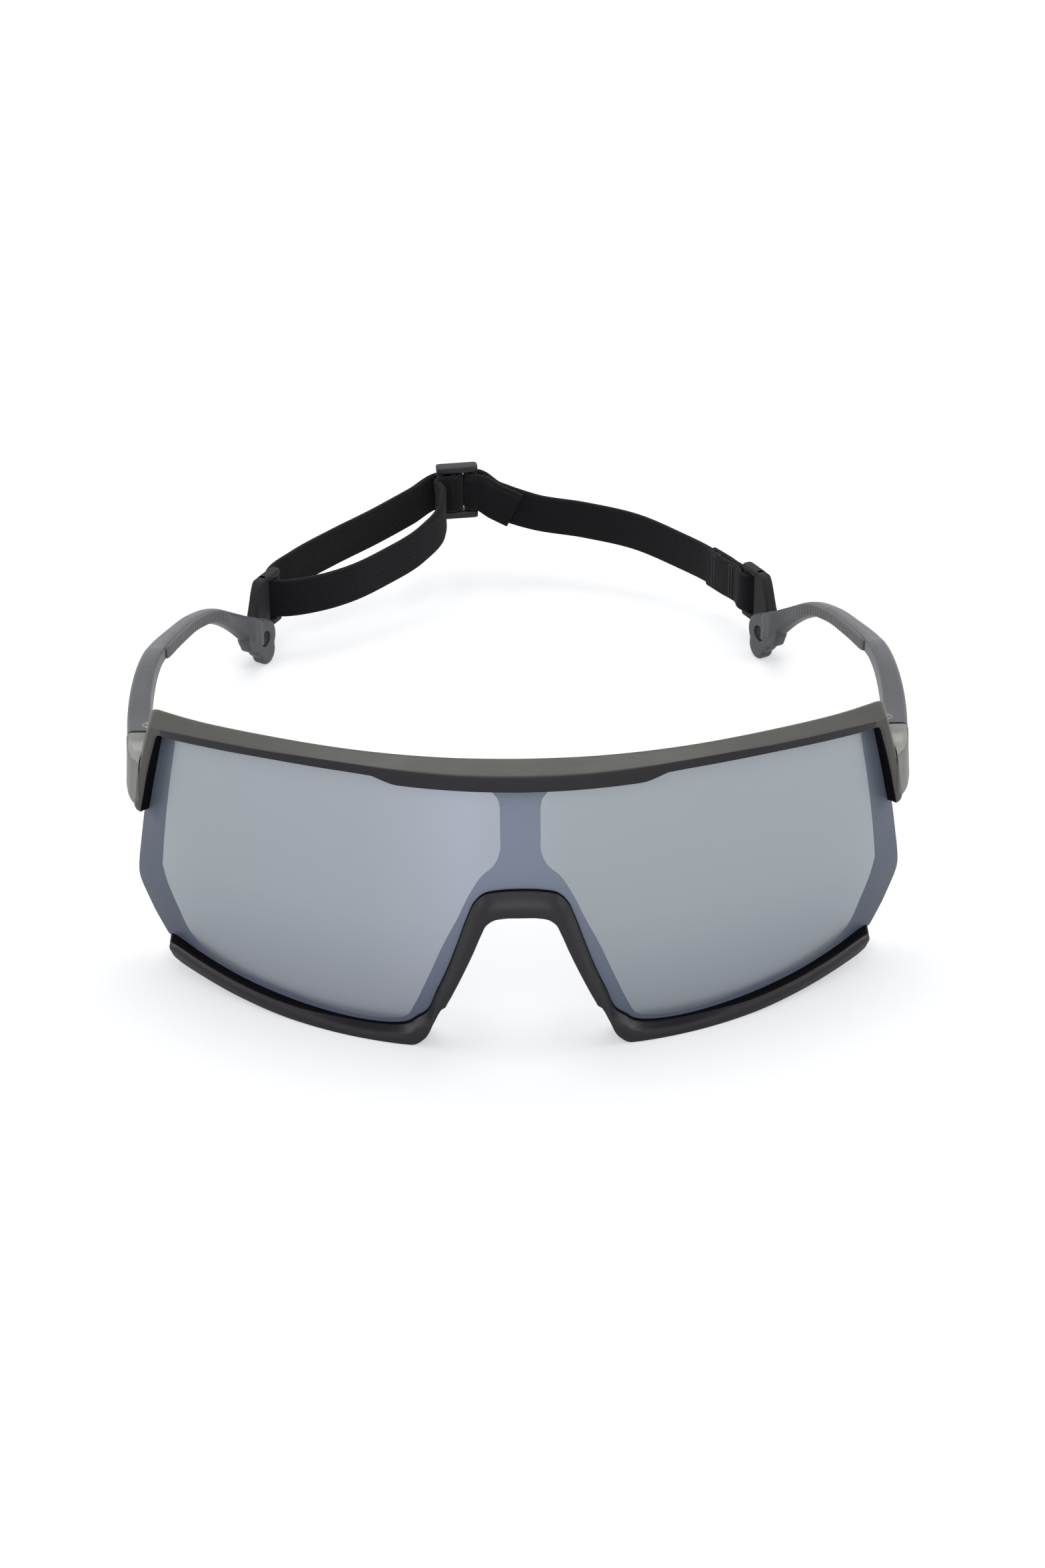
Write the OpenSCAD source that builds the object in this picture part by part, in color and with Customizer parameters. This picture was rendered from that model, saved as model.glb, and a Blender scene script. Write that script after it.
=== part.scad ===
// Sports sunglasses: a one-piece wrap shield lens, a brow frame with two
// side legs, a lower rim with the nose arch, folding temples and a webbing
// retainer strap that clips into the temple tips.
// Lengths are in millimetres. The glasses face -Y and stand on z = 0. Shapes
// are written from the lens apex at y = 0, and placed() then centres them.

/* [Lens] */
// Radius of the lens front across the face
lens_r = 88; // [82:1:98]
// Radius of the lens front from top to bottom
lens_rise_r = 160; // [130:5:220]
// Height of the fullest point of the lens
lens_full_z = 32; // [28:1:36]
// Lens thickness
lens_t = 2; // [1.6:0.1:2.4]
// Half width of the lens at its short widest edge
lens_wide_x = 71.4; // [70.6:0.1:72.4]
// Height of the middle of that edge
lens_wide_z = 16.6; // [13:0.2:20]
// Length of that edge
lens_wide_h = 3; // [2:0.1:4]
// How far the lens passes the ends of the lower rim
lens_past_rim = 0.5; // [0.3:0.1:0.8]
// Depth of the lens in the grooves of the frame and the rim
lens_seat = 1.3; // [1:0.1:1.6]

/* [Brow frame] */
// Distance that the frame stands in front of the lens
frame_proud = 3; // [2.4:0.1:3.4]
// Thickness of the frame behind the lens
frame_back = 1.8; // [1.4:0.1:2.2]
// Height of the lower edge of the brow band, at the centre
band_z = 56.1; // [54.5:0.1:58]
// Fall of that edge from the centre to the corners
brow_drop = 3.9; // [3:0.1:4.8]
// Half width of the brow frame at its top corners
brow_x = 66.5; // [66:0.1:67.2]
// Radius of the top corners
corner_r = 2.2; // [1.8:0.1:2.6]
// Extra depth of the centre part of the band
tab_h = 1.75; // [1:0.05:2.4]
// Half width of the centre part at its lower edge
tab_x = 22.2; // [19:0.1:25]
// Height from the band's lower edge to the crease above it, at the centre
crease_h = 0.9; // [0.6:0.1:1.4]
// Rise of the sloping top face from the crease to the ridge
bevel_h = 2.2; // [1.6:0.1:2.8]
// Depth of the sloping top face from the crease to the ridge
bevel_d = 3.5; // [2.8:0.1:4.2]
// Slope of the top of the brow from the centre to the temples, in degrees
brow_tilt = 7; // [5.5:0.5:8]
// Half width of the frame at the lower end of a side leg
leg_x = 70; // [69.4:0.1:70.6]
// Height of the lower end of a side leg
leg_z = 34; // [32:0.5:36]
// Width of a side leg, seen from the front
leg_w = 2.7; // [2.3:0.1:3.2]

/* [Lower rim] */
// Half width of the lower rim at its tips
rim_x = 65.7; // [64.4:0.1:66.6]
// Height of the rim's upper edge near the nose
rim_h = 2.6; // [2.2:0.1:3.2]
// Rise of the rim's upper edge from the nose to the tips
rim_rise = 3.2; // [2.4:0.1:4]
// Half width of the two flat lands that rest on the table, outside
land_x = 23; // [22.4:0.1:24.5]
// Half width of the nose arch at its feet, outside
arch_x = 21.5; // [20.8:0.1:22]
// Height of the nose arch
arch_z = 34; // [31:0.5:37]

/* [Nose piece] */
// Thickness of the nose bracket
bracket_t = 1.4; // [1.1:0.1:1.8]
// Height above the table where the nose bracket ends
bracket_z = 10; // [8:0.5:13]
// Length of a nose pad
pad_l = 16; // [13:0.5:18]
// Half width of a nose pad
pad_r = 4.2; // [3.4:0.1:4.8]
// Thickness of a nose pad
pad_t = 2; // [1.6:0.1:2.4]
// Half distance between the middles of the pads
pad_x = 10.4; // [10:0.1:11.2]
// Height of the middle of a pad
pad_z = 18.6; // [17.5:0.1:20]
// Lean of the pads in the front view, in degrees
pad_lean = 21.7; // [18:0.5:25]
// Angle at which the pads open to the back, in degrees
pad_splay = 25; // [20:1:32]

/* [Hinges] */
// Length of an end piece from the front of the leg to the hinge seam
block_l = 7.1; // [6.7:0.1:8]
// Distance that the end piece stands out of the leg
block_out = 2.1; // [1.6:0.1:2.6]
// Width of the end piece at the seam
block_w = 5.9; // [5.4:0.1:6.6]
// Height of the middle of the hinge
hinge_z = 42.6; // [41.6:0.1:43.4]
// Distance of the hinge axis inside the end of the leg
hinge_in = 2.6; // [2.4:0.1:2.8]
// Distance of the hinge axis behind the seam
hinge_back = 2.5; // [2.4:0.1:3]
// Outer radius of the hinge knuckles
knuckle_r = 2.1; // [2:0.05:2.3]
// Height of the temple's own knuckle
knuckle_h = 3.6; // [3:0.1:4.2]
// Height of each ear on the frame
ear_h = 2.1; // [1.9:0.1:2.4]
// Radius of the hinge screw
screw_r = 0.8; // [0.7:0.05:0.9]
// Radius of the screw head and of the nut
head_r = 1.4; // [1.3:0.05:1.5]
// Height of the screw head and of the nut
head_h = 0.8; // [0.6:0.1:1]

/* [Temples] */
// Length of a temple from the seam to its strap hole
temple_l = 118; // [112:1:126]
// Distance that the temple bulges out of the frame's legs
temple_out = 2.9; // [2.5:0.1:3.4]
// Height of a temple at the hinge
temple_h = 8.2; // [7.8:0.1:9]
// Thickness of a temple at the hinge
temple_t = 4.4; // [4.1:0.1:4.8]
// Half distance between the strap holes in the temple tips
tip_x = 55; // [53:0.5:57]
// Height of the strap holes
tip_z = 6.4; // [6:0.1:7]
// Radius of the round end about the strap hole
tip_r = 4.3; // [4:0.1:4.6]
// Radius of the foot of the tip, which rests on the table
foot_r = 2.8; // [2.4:0.1:3]
// Thickness of the temple tip
tip_t = 2.8; // [2.4:0.1:3.2]
// Thickness of the rubber ear grips
grip_t = 0.8; // [0.6:0.1:1]

/* [Strap clips] */
// Radius of the pegs that hold the clips in the temple tips
peg_r = 1.65; // [1.4:0.05:1.9]
// Thickness of a strap clip
clip_t = 2.4; // [2:0.1:2.8]
// Distance from a clip's peg to its strap bar
clip_l = 10.9; // [10.4:0.1:11.6]
// Height of the middle of the strap bar
clip_z = 11.6; // [11.2:0.1:12.2]
// Radius of the strap bars on the clips
bar_r = 1.2; // [1:0.05:1.3]
// Width of the clip's rails above and below the strap
clip_rail = 1.5; // [1.2:0.1:1.8]

/* [Strap] */
// Width of the webbing
strap_w = 8.8; // [7.8:0.1:9.2]
// Thickness of the webbing
strap_t = 1.4; // [1.1:0.1:1.6]
// Distance that the strap reaches behind the bars of the clips
strap_reach = 35.8; // [33:0.2:39]
// Distance of the slider's right bar from the middle
slider_x = 8.3; // [5:0.1:11]
// Height of the middle of the slider
slider_z = 20.2; // [18:0.1:22]
// Length of the slider along the strap
slider_l = 9.4; // [9:0.1:10.2]
// Thickness of the slider
slider_t = 3; // [2.6:0.1:3.4]
// Height of the slider's rails above and below the strap
slider_rail = 1.8; // [1.4:0.1:2.2]
// Radius of the slider's bars
slider_bar_r = 0.9; // [0.7:0.05:1]
// Turn of the slider out of the straight line across, in degrees
slider_turn = 8; // [5:0.5:11]

/* [Hidden] */
$fn = 96;
// Points along each smooth outline, on either side of the middle
arc_steps = 12;
// Gap between the lens and its grooves, and about the screws' heads
lens_gap = 0.1;
// Gap between pieces that lie face to face or turn beside each other
seat_gap = 0.2;
// Gap above and below the temples' knuckles
knuckle_gap = 0.1;
// Radial gap between a screw and its bores
screw_gap = 0.06;
// Radial gap between a peg and its hole, or a webbing loop and its bar
peg_gap = 0.1;
loop_gap = 0.15;
// Gap between the webbing's edges and the rails beside them
rail_gap = 0.3;
// Length by which cutting shapes pass the faces that they cut
over = 1;

// The lens front at height z, moved outwards by out: its radius, then its y
function face_r(z, out) = lens_r - lens_rise_r
    + sqrt(pow(lens_rise_r + out, 2) - pow(z - lens_full_z, 2));
function face_y(x, z, out) = lens_r - sqrt(pow(face_r(z, out), 2) - x * x);

// Heights of the brow band's lower edge and of the rim's two edges
corner_x = brow_x - corner_r;
function brow_edge(x) = band_z - brow_drop * pow(x / corner_x, 2);
function rim_top(x) = rim_h + rim_rise * pow(x / rim_x, 2);
function rim_low(x) = (rim_h + rim_rise) * rim_low_share
    * (pow(x, 2) - pow(land_x, 2)) / (pow(rim_x, 2) - pow(land_x, 2));
// Height of the rim's lower edge at its tips, as a share of the upper edge's
rim_low_share = 0.76;
// Set-back of the lower end of the rim's slanting tips, a share of its height
rim_slant_share = 0.4;

// An outline from the right half's points, which run from the middle of its
// top to the middle of its bottom
function both(half) = concat(half,
    [for (i = [len(half) - 1:-1:0]) if (half[i].x > 0) [-half[i].x, half[i].y]]);

// The nose arch: points from the middle of its top to its foot as shares of
// arch_x and arch_z, and the direction that faces out of the arch there
arch_shares = [[0, 1, 0, 1], [0.163, 0.995, 0.1, 1], [0.316, 0.97, 0.6, 0.8],
    [0.433, 0.853, 0.93, 0.38], [0.619, 0.49, 0.94, 0.33],
    [0.809, 0.18, 0.93, 0.36], [0.963, 0.103, 0.6, 0.8]];
function arch_points(inset) = [for (p = arch_shares)
    [max(0, p[0] * arch_x - inset * p[2]), p[1] * arch_z - inset * p[3]]];
// The opening over the nose, with a notch at each pad, as the same shares
gap_shares = [[0, 0.865], [0.19, 0.862], [0.28, 0.835], [0.33, 0.78],
    [0.619, 0.32], [0.675, 0.25], [0.85, 0.035], [0.9, 0]];

// Hinge places, on the right side: the seam lies behind the leg, and far
// enough back that the screw's head and nut clear the rear edge of the lens
lens_rear_y = face_y(leg_x - leg_w / 4, hinge_z, -lens_t);
seam_y = max(face_y(leg_x, leg_z, frame_proud) + block_l,
    lens_rear_y + head_r + seat_gap - hinge_back);
hinge_x = leg_x - hinge_in;
hinge_y = seam_y + hinge_back;
ear_low_z = hinge_z - knuckle_h / 2 - knuckle_gap - ear_h;
ear_top_z = hinge_z + knuckle_h / 2 + knuckle_gap + ear_h;

// Temple stations: the place along the temple, then the outer face between
// the tip and the bulge, the top edge between the tip and the hinge, and the
// thickness and height, all as shares
station_shares = [
    [0.002, 0.93, 1, 1, 1], [0.06, 0.972, 0.988, 1, 0.9],
    [0.144, 1, 0.985, 0.93, 0.76], [0.237, 0.986, 0.973, 0.86, 0.61],
    [0.322, 0.951, 0.924, 0.82, 0.51], [0.381, 0.93, 0.858, 0.82, 0.46],
    [0.542, 0.804, 0.677, 0.75, 0.415], [0.695, 0.657, 0.495, 0.7, 0.415],
    [0.822, 0.462, 0.314, 0.68, 0.44], [0.924, 0.196, 0.097, 0.68, 0.585],
    [0.962, 0, 0, 0.72, 0.85]];
tip_y = seam_y + temple_l;
temple_x = leg_x + temple_out;
temple_top_z = hinge_z + temple_h / 2;
// Where the temple meets its tip plate, as shares of the tip's radius
tip_out_share = 0.837;
tip_top_share = 1.674;
temple_end_x = tip_x + tip_r * tip_out_share;
temple_end_z = tip_z + tip_r * tip_top_share;
function station(s) = [seam_y + temple_l * s[0],
    temple_end_x + (temple_x - temple_end_x) * s[1],
    temple_end_z + (temple_top_z - temple_end_z) * s[2],
    temple_t * s[3], temple_h * s[4]];

// A smooth curve through points, with steps parts between neighbours
function along(p, i, t) =
    let (a = p[max(i - 1, 0)], b = p[i], c = p[i + 1], d = p[min(i + 2, len(p) - 1)])
    (2 * b + (c - a) * t + (2 * a - 5 * b + 4 * c - d) * t * t
        + (3 * b - a - 3 * c + d) * t * t * t) / 2;
function smooth(p, steps) = concat(
    [for (i = [0:len(p) - 2]) for (k = [0:steps - 1]) along(p, i, k / steps)],
    [p[len(p) - 1]]);
stations = smooth([for (s = station_shares) station(s)], 3);

// The tip plate about the strap hole, along the plate and up, as shares of
// the tip's radius: the upper side, then the lower side with its barb
tip_top_shares = [[-1.535, 1.674], [-0.465, 1.21], [0, 1]];
tip_low_shares = [[0, -0.9], [-0.907, -0.28], [-1.44, -0.21], [-1.72, 0.51]];
// The foot's place along the plate, as a share of the tip's radius
foot_share = 0.21;
// Turn of the left tip's plate from the X axis
tip_turn = 62;

// Strap clip, along the plate from its peg
clip_h = strap_w + 2 * (rail_gap + clip_rail);
clip_y = tip_t / 2 + seat_gap;
boss_share = 1.94;
clip_end = clip_l + bar_r;
slot_start = clip_l - bar_r - loop_gap - 2 * strap_t;
neck_start = slot_start - clip_t;

// Bars of the clips, on the right side
bar_x = tip_x - clip_l * cos(tip_turn) + (clip_y + clip_t / 2) * sin(tip_turn);
bar_y = tip_y + clip_l * sin(tip_turn) + (clip_y + clip_t / 2) * cos(tip_turn);

// Slider: its right bar is the point where the right strap turns
slider_pitch = slider_l / 2 - slider_bar_r;
slider_dir = [cos(slider_turn), sin(slider_turn)];
pivot = [-slider_x, bar_y + strap_reach];
slider_mid = pivot - slider_pitch * slider_dir;
loop_bar = pivot - 2 * slider_pitch * slider_dir;
slider_h = strap_w + 2 * (rail_gap + slider_rail);
wrap_r = slider_bar_r + loop_gap + strap_t / 2;
clip_wrap_r = bar_r + loop_gap + strap_t / 2;

// Strap routes as shares: across of bar_x, back of strap_reach, and up of
// the rise from the clips' bars to the slider
function place(s) = [bar_x * s[0], bar_y + strap_reach * s[1],
    clip_z + (slider_z - clip_z) * s[2]];
outer_shares = [[-0.432, 0.873, 0.767], [-0.584, 0.706, 0.535],
    [-0.764, 0.494, 0.349], [-0.926, 0.27, 0.186], [-1.02, 0.102, 0.04]];
inner_shares = [[-0.947, -0.065, 0.03], [-0.802, -0.018, 0.08],
    [-0.688, 0.075, 0.116], [-0.535, 0.27, 0.209], [-0.382, 0.499, 0.395],
    [-0.3, 0.689, 0.651], [-0.292, 0.83, 0.88]];
right_shares = [[-0.057, 0.985, 0.849], [0.096, 0.957, 0.547],
    [0.325, 0.879, 0.372], [0.546, 0.75, 0.209], [0.726, 0.566, 0.035]];
bend_share = [0.846, 0.382, -0.047];
bend = place(bend_share);
// Radius of the round edge at the bend, as a share of the webbing's thickness
bend_round_share = 0.45;
// Angles between which the loop lies round the left clip's bar
wrap_from = 150;
wrap_to = 280;

// Half of the depth of the glasses, which is centred on the origin
front_y = -frame_proud;
rear_y = pivot.y + wrap_r + strap_t / 2;
mid_y = (front_y + rear_y) / 2;

module placed() {
    translate([0, -mid_y, 0])
        children();
}

module right_side() {
    mirror([1, 0, 0])
        children();
}

// A shell that follows the lens, from out in front of it to in behind it
module lens_shell(out, in) {
    translate([0, lens_r, 0])
        rotate_extrude()
            intersection() {
                difference() {
                    translate([lens_r - lens_rise_r, lens_full_z])
                        circle(lens_rise_r + out, $fn = 720);
                    translate([lens_r - lens_rise_r, lens_full_z])
                        circle(lens_rise_r - in, $fn = 720);
                }
                translate([lens_r / 2, -lens_full_z])
                    square([lens_r, 4 * lens_full_z]);
            }
}

// An outline seen from the front, extruded back to rear_edge
module face_prism(rear_edge) {
    translate([0, rear_edge, 0])
        rotate([90, 0, 0])
            linear_extrude(rear_edge + frame_proud + over)
                children();
}

module lens_outline(grow) {
    side_x = leg_x - leg_w / 4 + grow;
    low_x = rim_x + lens_past_rim + grow;
    top_x = brow_x - leg_w / 2 + grow;
    difference() {
        polygon(both(concat(
            [for (i = [0:arc_steps])
                let (x = top_x * i / arc_steps) [x, brow_edge(x) + lens_seat + grow]],
            [[side_x, leg_z - leg_w],
                [lens_wide_x + grow, lens_wide_z + lens_wide_h / 2],
                [lens_wide_x + grow, lens_wide_z - lens_wide_h / 2]],
            [for (i = [arc_steps:-1:0])
                let (x = low_x * i / arc_steps) [x, rim_top(x) - lens_seat - grow]])));
        polygon(both(concat(arch_points(lens_seat + grow), [[arch_x, -over], [0, -over]])));
    }
}

// The lens, or the room for it in the frame and the rim
module lens_solid(grow) {
    intersection() {
        lens_shell(grow, lens_t + grow);
        face_prism(lens_r - over)
            lens_outline(grow);
    }
}

module brow_outline() {
    polygon(both(concat(
        [[0, band_z + crease_h + 2 * bevel_h], [corner_x, brow_edge(corner_x) + 2 * corner_r]],
        [for (i = [arc_steps:-1:5])
            let (x = corner_x * i / arc_steps) [x, brow_edge(x)]],
        [[tab_x + 2 * tab_h, brow_edge(tab_x + 2 * tab_h)],
            [tab_x, band_z - tab_h], [0, band_z - tab_h]])));
    for (side = [-1, 1]) {
        translate([side * corner_x, brow_edge(corner_x) + corner_r])
            circle(corner_r);
        translate([side * (leg_x - leg_w / 2), leg_z + leg_w / 2])
            circle(leg_w / 2);
        polygon([[side * brow_x, brow_edge(corner_x) + corner_r],
            [side * leg_x, leg_z + leg_w / 2],
            [side * (leg_x - leg_w), leg_z + leg_w / 2],
            [side * (brow_x - leg_w), brow_edge(corner_x) + corner_r]]);
    }
}

// Everything under the top of the brow: a crease, a sloping face up to the
// ridge and a fall behind it, turned about the lens axis and tilted
module brow_roof() {
    crease_z = band_z + crease_h;
    crease_r = face_r(crease_z, frame_proud);
    slope = bevel_h / bevel_d;
    translate([0, lens_r - crease_r, crease_z])
        rotate([-brow_tilt, 0, 0])
            translate([0, crease_r, 0])
                rotate_extrude()
                    polygon([[crease_r - bevel_d, bevel_h],
                        [crease_r + bevel_d, -bevel_d * slope],
                        [crease_r + bevel_d, -2 * crease_z],
                        [lens_r / 2, -2 * crease_z], [lens_r / 2, 0],
                        [crease_r - 2 * bevel_d, 0]]);
}

// The end piece in plan, across its width and along its length, as shares
block_plan_shares = [[0.627, 0], [0.847, 0.333], [0.983, 0.667], [1, 1], [0, 1], [0, 0.23]];
// The end piece from the side, back to the seam and up from its foot to its
// top, as shares of its reach and of its height
block_side_shares = [[0, 0], [0.4, 0.014], [1, 0.193], [1, 0.59], [0.7, 0.67],
    [0.4, 0.811], [0.15, 0.976], [0, 1]];
// The reach of the end piece up the leg, and its height, as shares
block_reach_share = 1.41;
block_height_share = 1.07;
// The part of its width by which the end piece begins before the leg's end
block_lead_share = 0.12;
// Above the temple's top the end piece draws in to the side of the leg: the
// height of that step as a share of the temple's, and what is left outside
// the leg as a share of the leg's width
block_step_share = 0.22;
block_edge_share = 0.15;
function leg_side(z) = leg_x - (leg_x - brow_x) * (z - leg_z) / (brow_edge(corner_x) - leg_z);

// The right end piece, between the leg and the hinge
module end_piece() {
    reach = block_l * block_reach_share;
    height = (brow_edge(corner_x) - leg_z + corner_r) * block_height_share;
    start_y = seam_y - block_l - block_w * block_lead_share;
    step_z = temple_top_z + temple_h * block_step_share;
    edge = leg_w * block_edge_share;
    intersection() {
        face_prism(seam_y)
            polygon([[leg_x - 2 * block_w, 0], [leg_x + block_out, 0],
                [leg_x + block_out, temple_top_z], [leg_side(step_z) + edge, step_z],
                [leg_side(band_z) + edge, band_z], [leg_x - 2 * block_w, band_z]]);
        linear_extrude(2 * band_z)
            polygon([for (p = block_plan_shares)
                [leg_x + block_out - block_w * (1 - p[0]), start_y + (seam_y - start_y) * p[1]]]);
        rotate([90, 0, 90])
            linear_extrude(2 * leg_x)
                polygon([for (p = block_side_shares)
                    [seam_y - reach * (1 - p[0]), leg_z + height * p[1]]]);
    }
}

// The two ears of the right hinge, joined to the end piece at the seam
module ears() {
    for (z = [ear_low_z, ear_top_z - ear_h])
        translate([hinge_x, hinge_y, z]) {
            cylinder(h = ear_h, r = knuckle_r);
            translate([-knuckle_r, -hinge_back - over, 0])
                cube([knuckle_r + screw_r - seat_gap, hinge_back + over, ear_h]);
        }
}

// The room in the ears for the screw, its head and its nut
module screw_room() {
    translate([hinge_x, hinge_y, ear_low_z - over])
        cylinder(h = ear_top_z - ear_low_z + 2 * over, r = screw_r + screw_gap);
    translate([hinge_x, hinge_y, ear_low_z - over])
        cylinder(h = head_h + lens_gap + over, r = head_r + lens_gap);
    translate([hinge_x, hinge_y, ear_top_z - head_h - lens_gap])
        cylinder(h = head_h + lens_gap + over, r = head_r + lens_gap);
}

module brow_frame() {
    color([0.13, 0.13, 0.13])
        placed()
            difference() {
                union() {
                    intersection() {
                        lens_shell(frame_proud, lens_t + frame_back);
                        face_prism(seam_y)
                            brow_outline();
                        brow_roof();
                    }
                    end_piece();
                    ears();
                    right_side() {
                        end_piece();
                        ears();
                    }
                }
                lens_solid(lens_gap);
                screw_room();
                right_side()
                    screw_room();
            }
}

module lens() {
    color([0.5, 0.55, 0.6])
        placed()
            lens_solid(0);
}

module rim_outline() {
    foot_x = rim_x - (rim_h + rim_rise) * rim_slant_share;
    difference() {
        union() {
            polygon(both(concat(
                [for (i = [0:arc_steps])
                    let (x = rim_x * i / arc_steps) [x, rim_top(x)]],
                [for (i = [arc_steps:-1:0])
                    let (x = foot_x * i / arc_steps) [x, max(0, rim_low(x))]])));
            polygon(both(concat(arch_points(0), [[arch_x, 0], [0, 0]])));
        }
        polygon(both(concat(
            [for (p = gap_shares) [arch_x * p[0], arch_z * p[1]]],
            [[arch_x * gap_shares[7][0], -over], [0, -over]])));
    }
}

module lower_rim() {
    color([0.1, 0.1, 0.1])
        placed()
            difference() {
                intersection() {
                    lens_shell(frame_proud, lens_t + frame_back);
                    face_prism(lens_r - over)
                        rim_outline();
                }
                lens_solid(lens_gap);
            }
}

// Depth of the nose bracket's front face behind the lens front
bracket_in = lens_t + frame_back + seat_gap;

module nose_bracket() {
    color([0.14, 0.14, 0.14])
        placed()
            intersection() {
                lens_shell(-bracket_in, bracket_in + bracket_t);
                face_prism(lens_r / 2)
                    difference() {
                        polygon(both(concat(arch_points(seat_gap), [[0, 0]])));
                        polygon(both(concat(
                            [for (p = gap_shares) [arch_x * p[0], arch_z * p[1]]],
                            [[arch_x * gap_shares[7][0], -over], [0, -over]])));
                    }
                translate([-arch_x, -over, bracket_z])
                    cube([2 * arch_x, lens_r / 2, arch_z]);
            }
}

// The left nose pad: a plate with round ends that leans and opens backwards
module nose_pad() {
    half = pad_l / 2 - pad_r;
    front = face_y(pad_x, pad_z, -bracket_in - bracket_t) + seat_gap;
    translate([-pad_x, front + pad_r * cos(pad_splay) + pad_t / 2 * sin(pad_splay), pad_z])
        rotate([0, pad_lean, 0])
            rotate([0, 0, pad_splay])
                rotate([90, 0, 90])
                    translate([0, 0, -pad_t / 2]) {
                        for (end = [-half, half])
                            translate([0, end, 0])
                                cylinder(h = pad_t, r = pad_r);
                        translate([-pad_r, -half, 0])
                            cube([2 * pad_r, 2 * half, pad_t]);
                    }
}

module nose_pad_left() {
    color([0.2, 0.2, 0.2])
        placed()
            nose_pad();
}

module nose_pad_right() {
    color([0.2, 0.2, 0.2])
        placed()
            right_side()
                nose_pad();
}

// A bar between stations first and last of the right temple: outer and inner
// move its sides out of the temple's, and trim takes its edges back
module temple_bar(first, last, outer, inner, trim) {
    part = [for (i = [first:last]) stations[i]];
    n = len(part) - 1;
    intersection() {
        linear_extrude(2 * temple_top_z)
            polygon(concat([for (s = part) [outer ? s[1] : s[1] - s[3] - inner[0], s[0]]],
                [for (i = [n:-1:0]) [part[i][1] - part[i][3] - inner[1], part[i][0]]]));
        rotate([90, 0, 90])
            linear_extrude(2 * temple_x)
                polygon(concat([for (s = part) [s[0], s[2] - trim]],
                    [for (i = [n:-1:0]) [part[i][0], part[i][2] - part[i][4] + trim]]));
    }
}

// The frame of the left temple tip: x runs along its plate to the rear, y out
module at_tip() {
    translate([-tip_x, tip_y, 0])
        rotate([0, 0, tip_turn])
            children();
}

// A plate in that frame between y = from and y = from + thick
module tip_plate(from, thick) {
    translate([0, from + thick, 0])
        rotate([90, 0, 0])
            linear_extrude(thick)
                children();
}

module temple_tip() {
    at_tip()
        difference() {
            tip_plate(-tip_t / 2, tip_t) {
                translate([0, tip_z])
                    circle(tip_r);
                translate([tip_r * foot_share, foot_r])
                    circle(foot_r);
                translate([0, tip_z])
                    polygon(tip_r * concat(tip_top_shares, tip_low_shares));
            }
            translate([0, tip_t, tip_z])
                rotate([90, 0, 0])
                    cylinder(h = 2 * tip_t, r = peg_r + peg_gap);
        }
}

// The right temple, with its knuckle between the frame's ears
module temple() {
    difference() {
        union() {
            difference() {
                temple_bar(0, len(stations) - 1, true, [0, 0], 0);
                for (z = [hinge_z - temple_h, hinge_z + knuckle_h / 2])
                    translate([hinge_x, hinge_y, z])
                        cylinder(h = temple_h - knuckle_h / 2, r = knuckle_r + rail_gap);
            }
            translate([hinge_x, hinge_y, hinge_z - knuckle_h / 2])
                cylinder(h = knuckle_h, r = knuckle_r);
            right_side()
                temple_tip();
        }
        translate([hinge_x, hinge_y, hinge_z - knuckle_h])
            cylinder(h = 2 * knuckle_h, r = screw_r + screw_gap);
    }
}

module left_temple() {
    color([0.2, 0.2, 0.21])
        placed()
            right_side()
                temple();
}

module right_temple() {
    color([0.2, 0.2, 0.21])
        placed()
            temple();
}

// Stations of the temple between which the ear grip lies
grip_first = 11;
grip_last = 26;

module ear_grip() {
    temple_bar(grip_first, grip_last, false, [knuckle_gap, knuckle_gap + grip_t], grip_t / 2);
}

module left_ear_grip() {
    color([0.25, 0.25, 0.25])
        placed()
            right_side()
                ear_grip();
}

module right_ear_grip() {
    color([0.25, 0.25, 0.25])
        placed()
            ear_grip();
}

// The right hinge's screw: a shank and a slotted head
module hinge_screw() {
    translate([hinge_x, hinge_y, 0])
        difference() {
            union() {
                translate([0, 0, ear_low_z])
                    cylinder(h = ear_top_z - ear_low_z - head_h / 2, r = screw_r);
                translate([0, 0, ear_top_z - head_h])
                    cylinder(h = head_h, r = head_r);
            }
            translate([-head_r - over, -screw_r / 4, ear_top_z - head_h / 2])
                cube([2 * (head_r + over), screw_r / 2, head_h]);
        }
}

module left_hinge_screw() {
    color("silver")
        placed()
            right_side()
                hinge_screw();
}

module right_hinge_screw() {
    color("silver")
        placed()
            hinge_screw();
}

// The nut in the lower ear, a brass ring on the screw's end
module hinge_nut() {
    translate([hinge_x, hinge_y, ear_low_z])
        difference() {
            cylinder(h = head_h, r = head_r);
            translate([0, 0, -over])
                cylinder(h = head_h + 2 * over, r = screw_r + screw_gap);
        }
}

module left_hinge_nut() {
    color([0.75, 0.6, 0.3])
        placed()
            right_side()
                hinge_nut();
}

module right_hinge_nut() {
    color([0.75, 0.6, 0.3])
        placed()
            hinge_nut();
}

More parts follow.
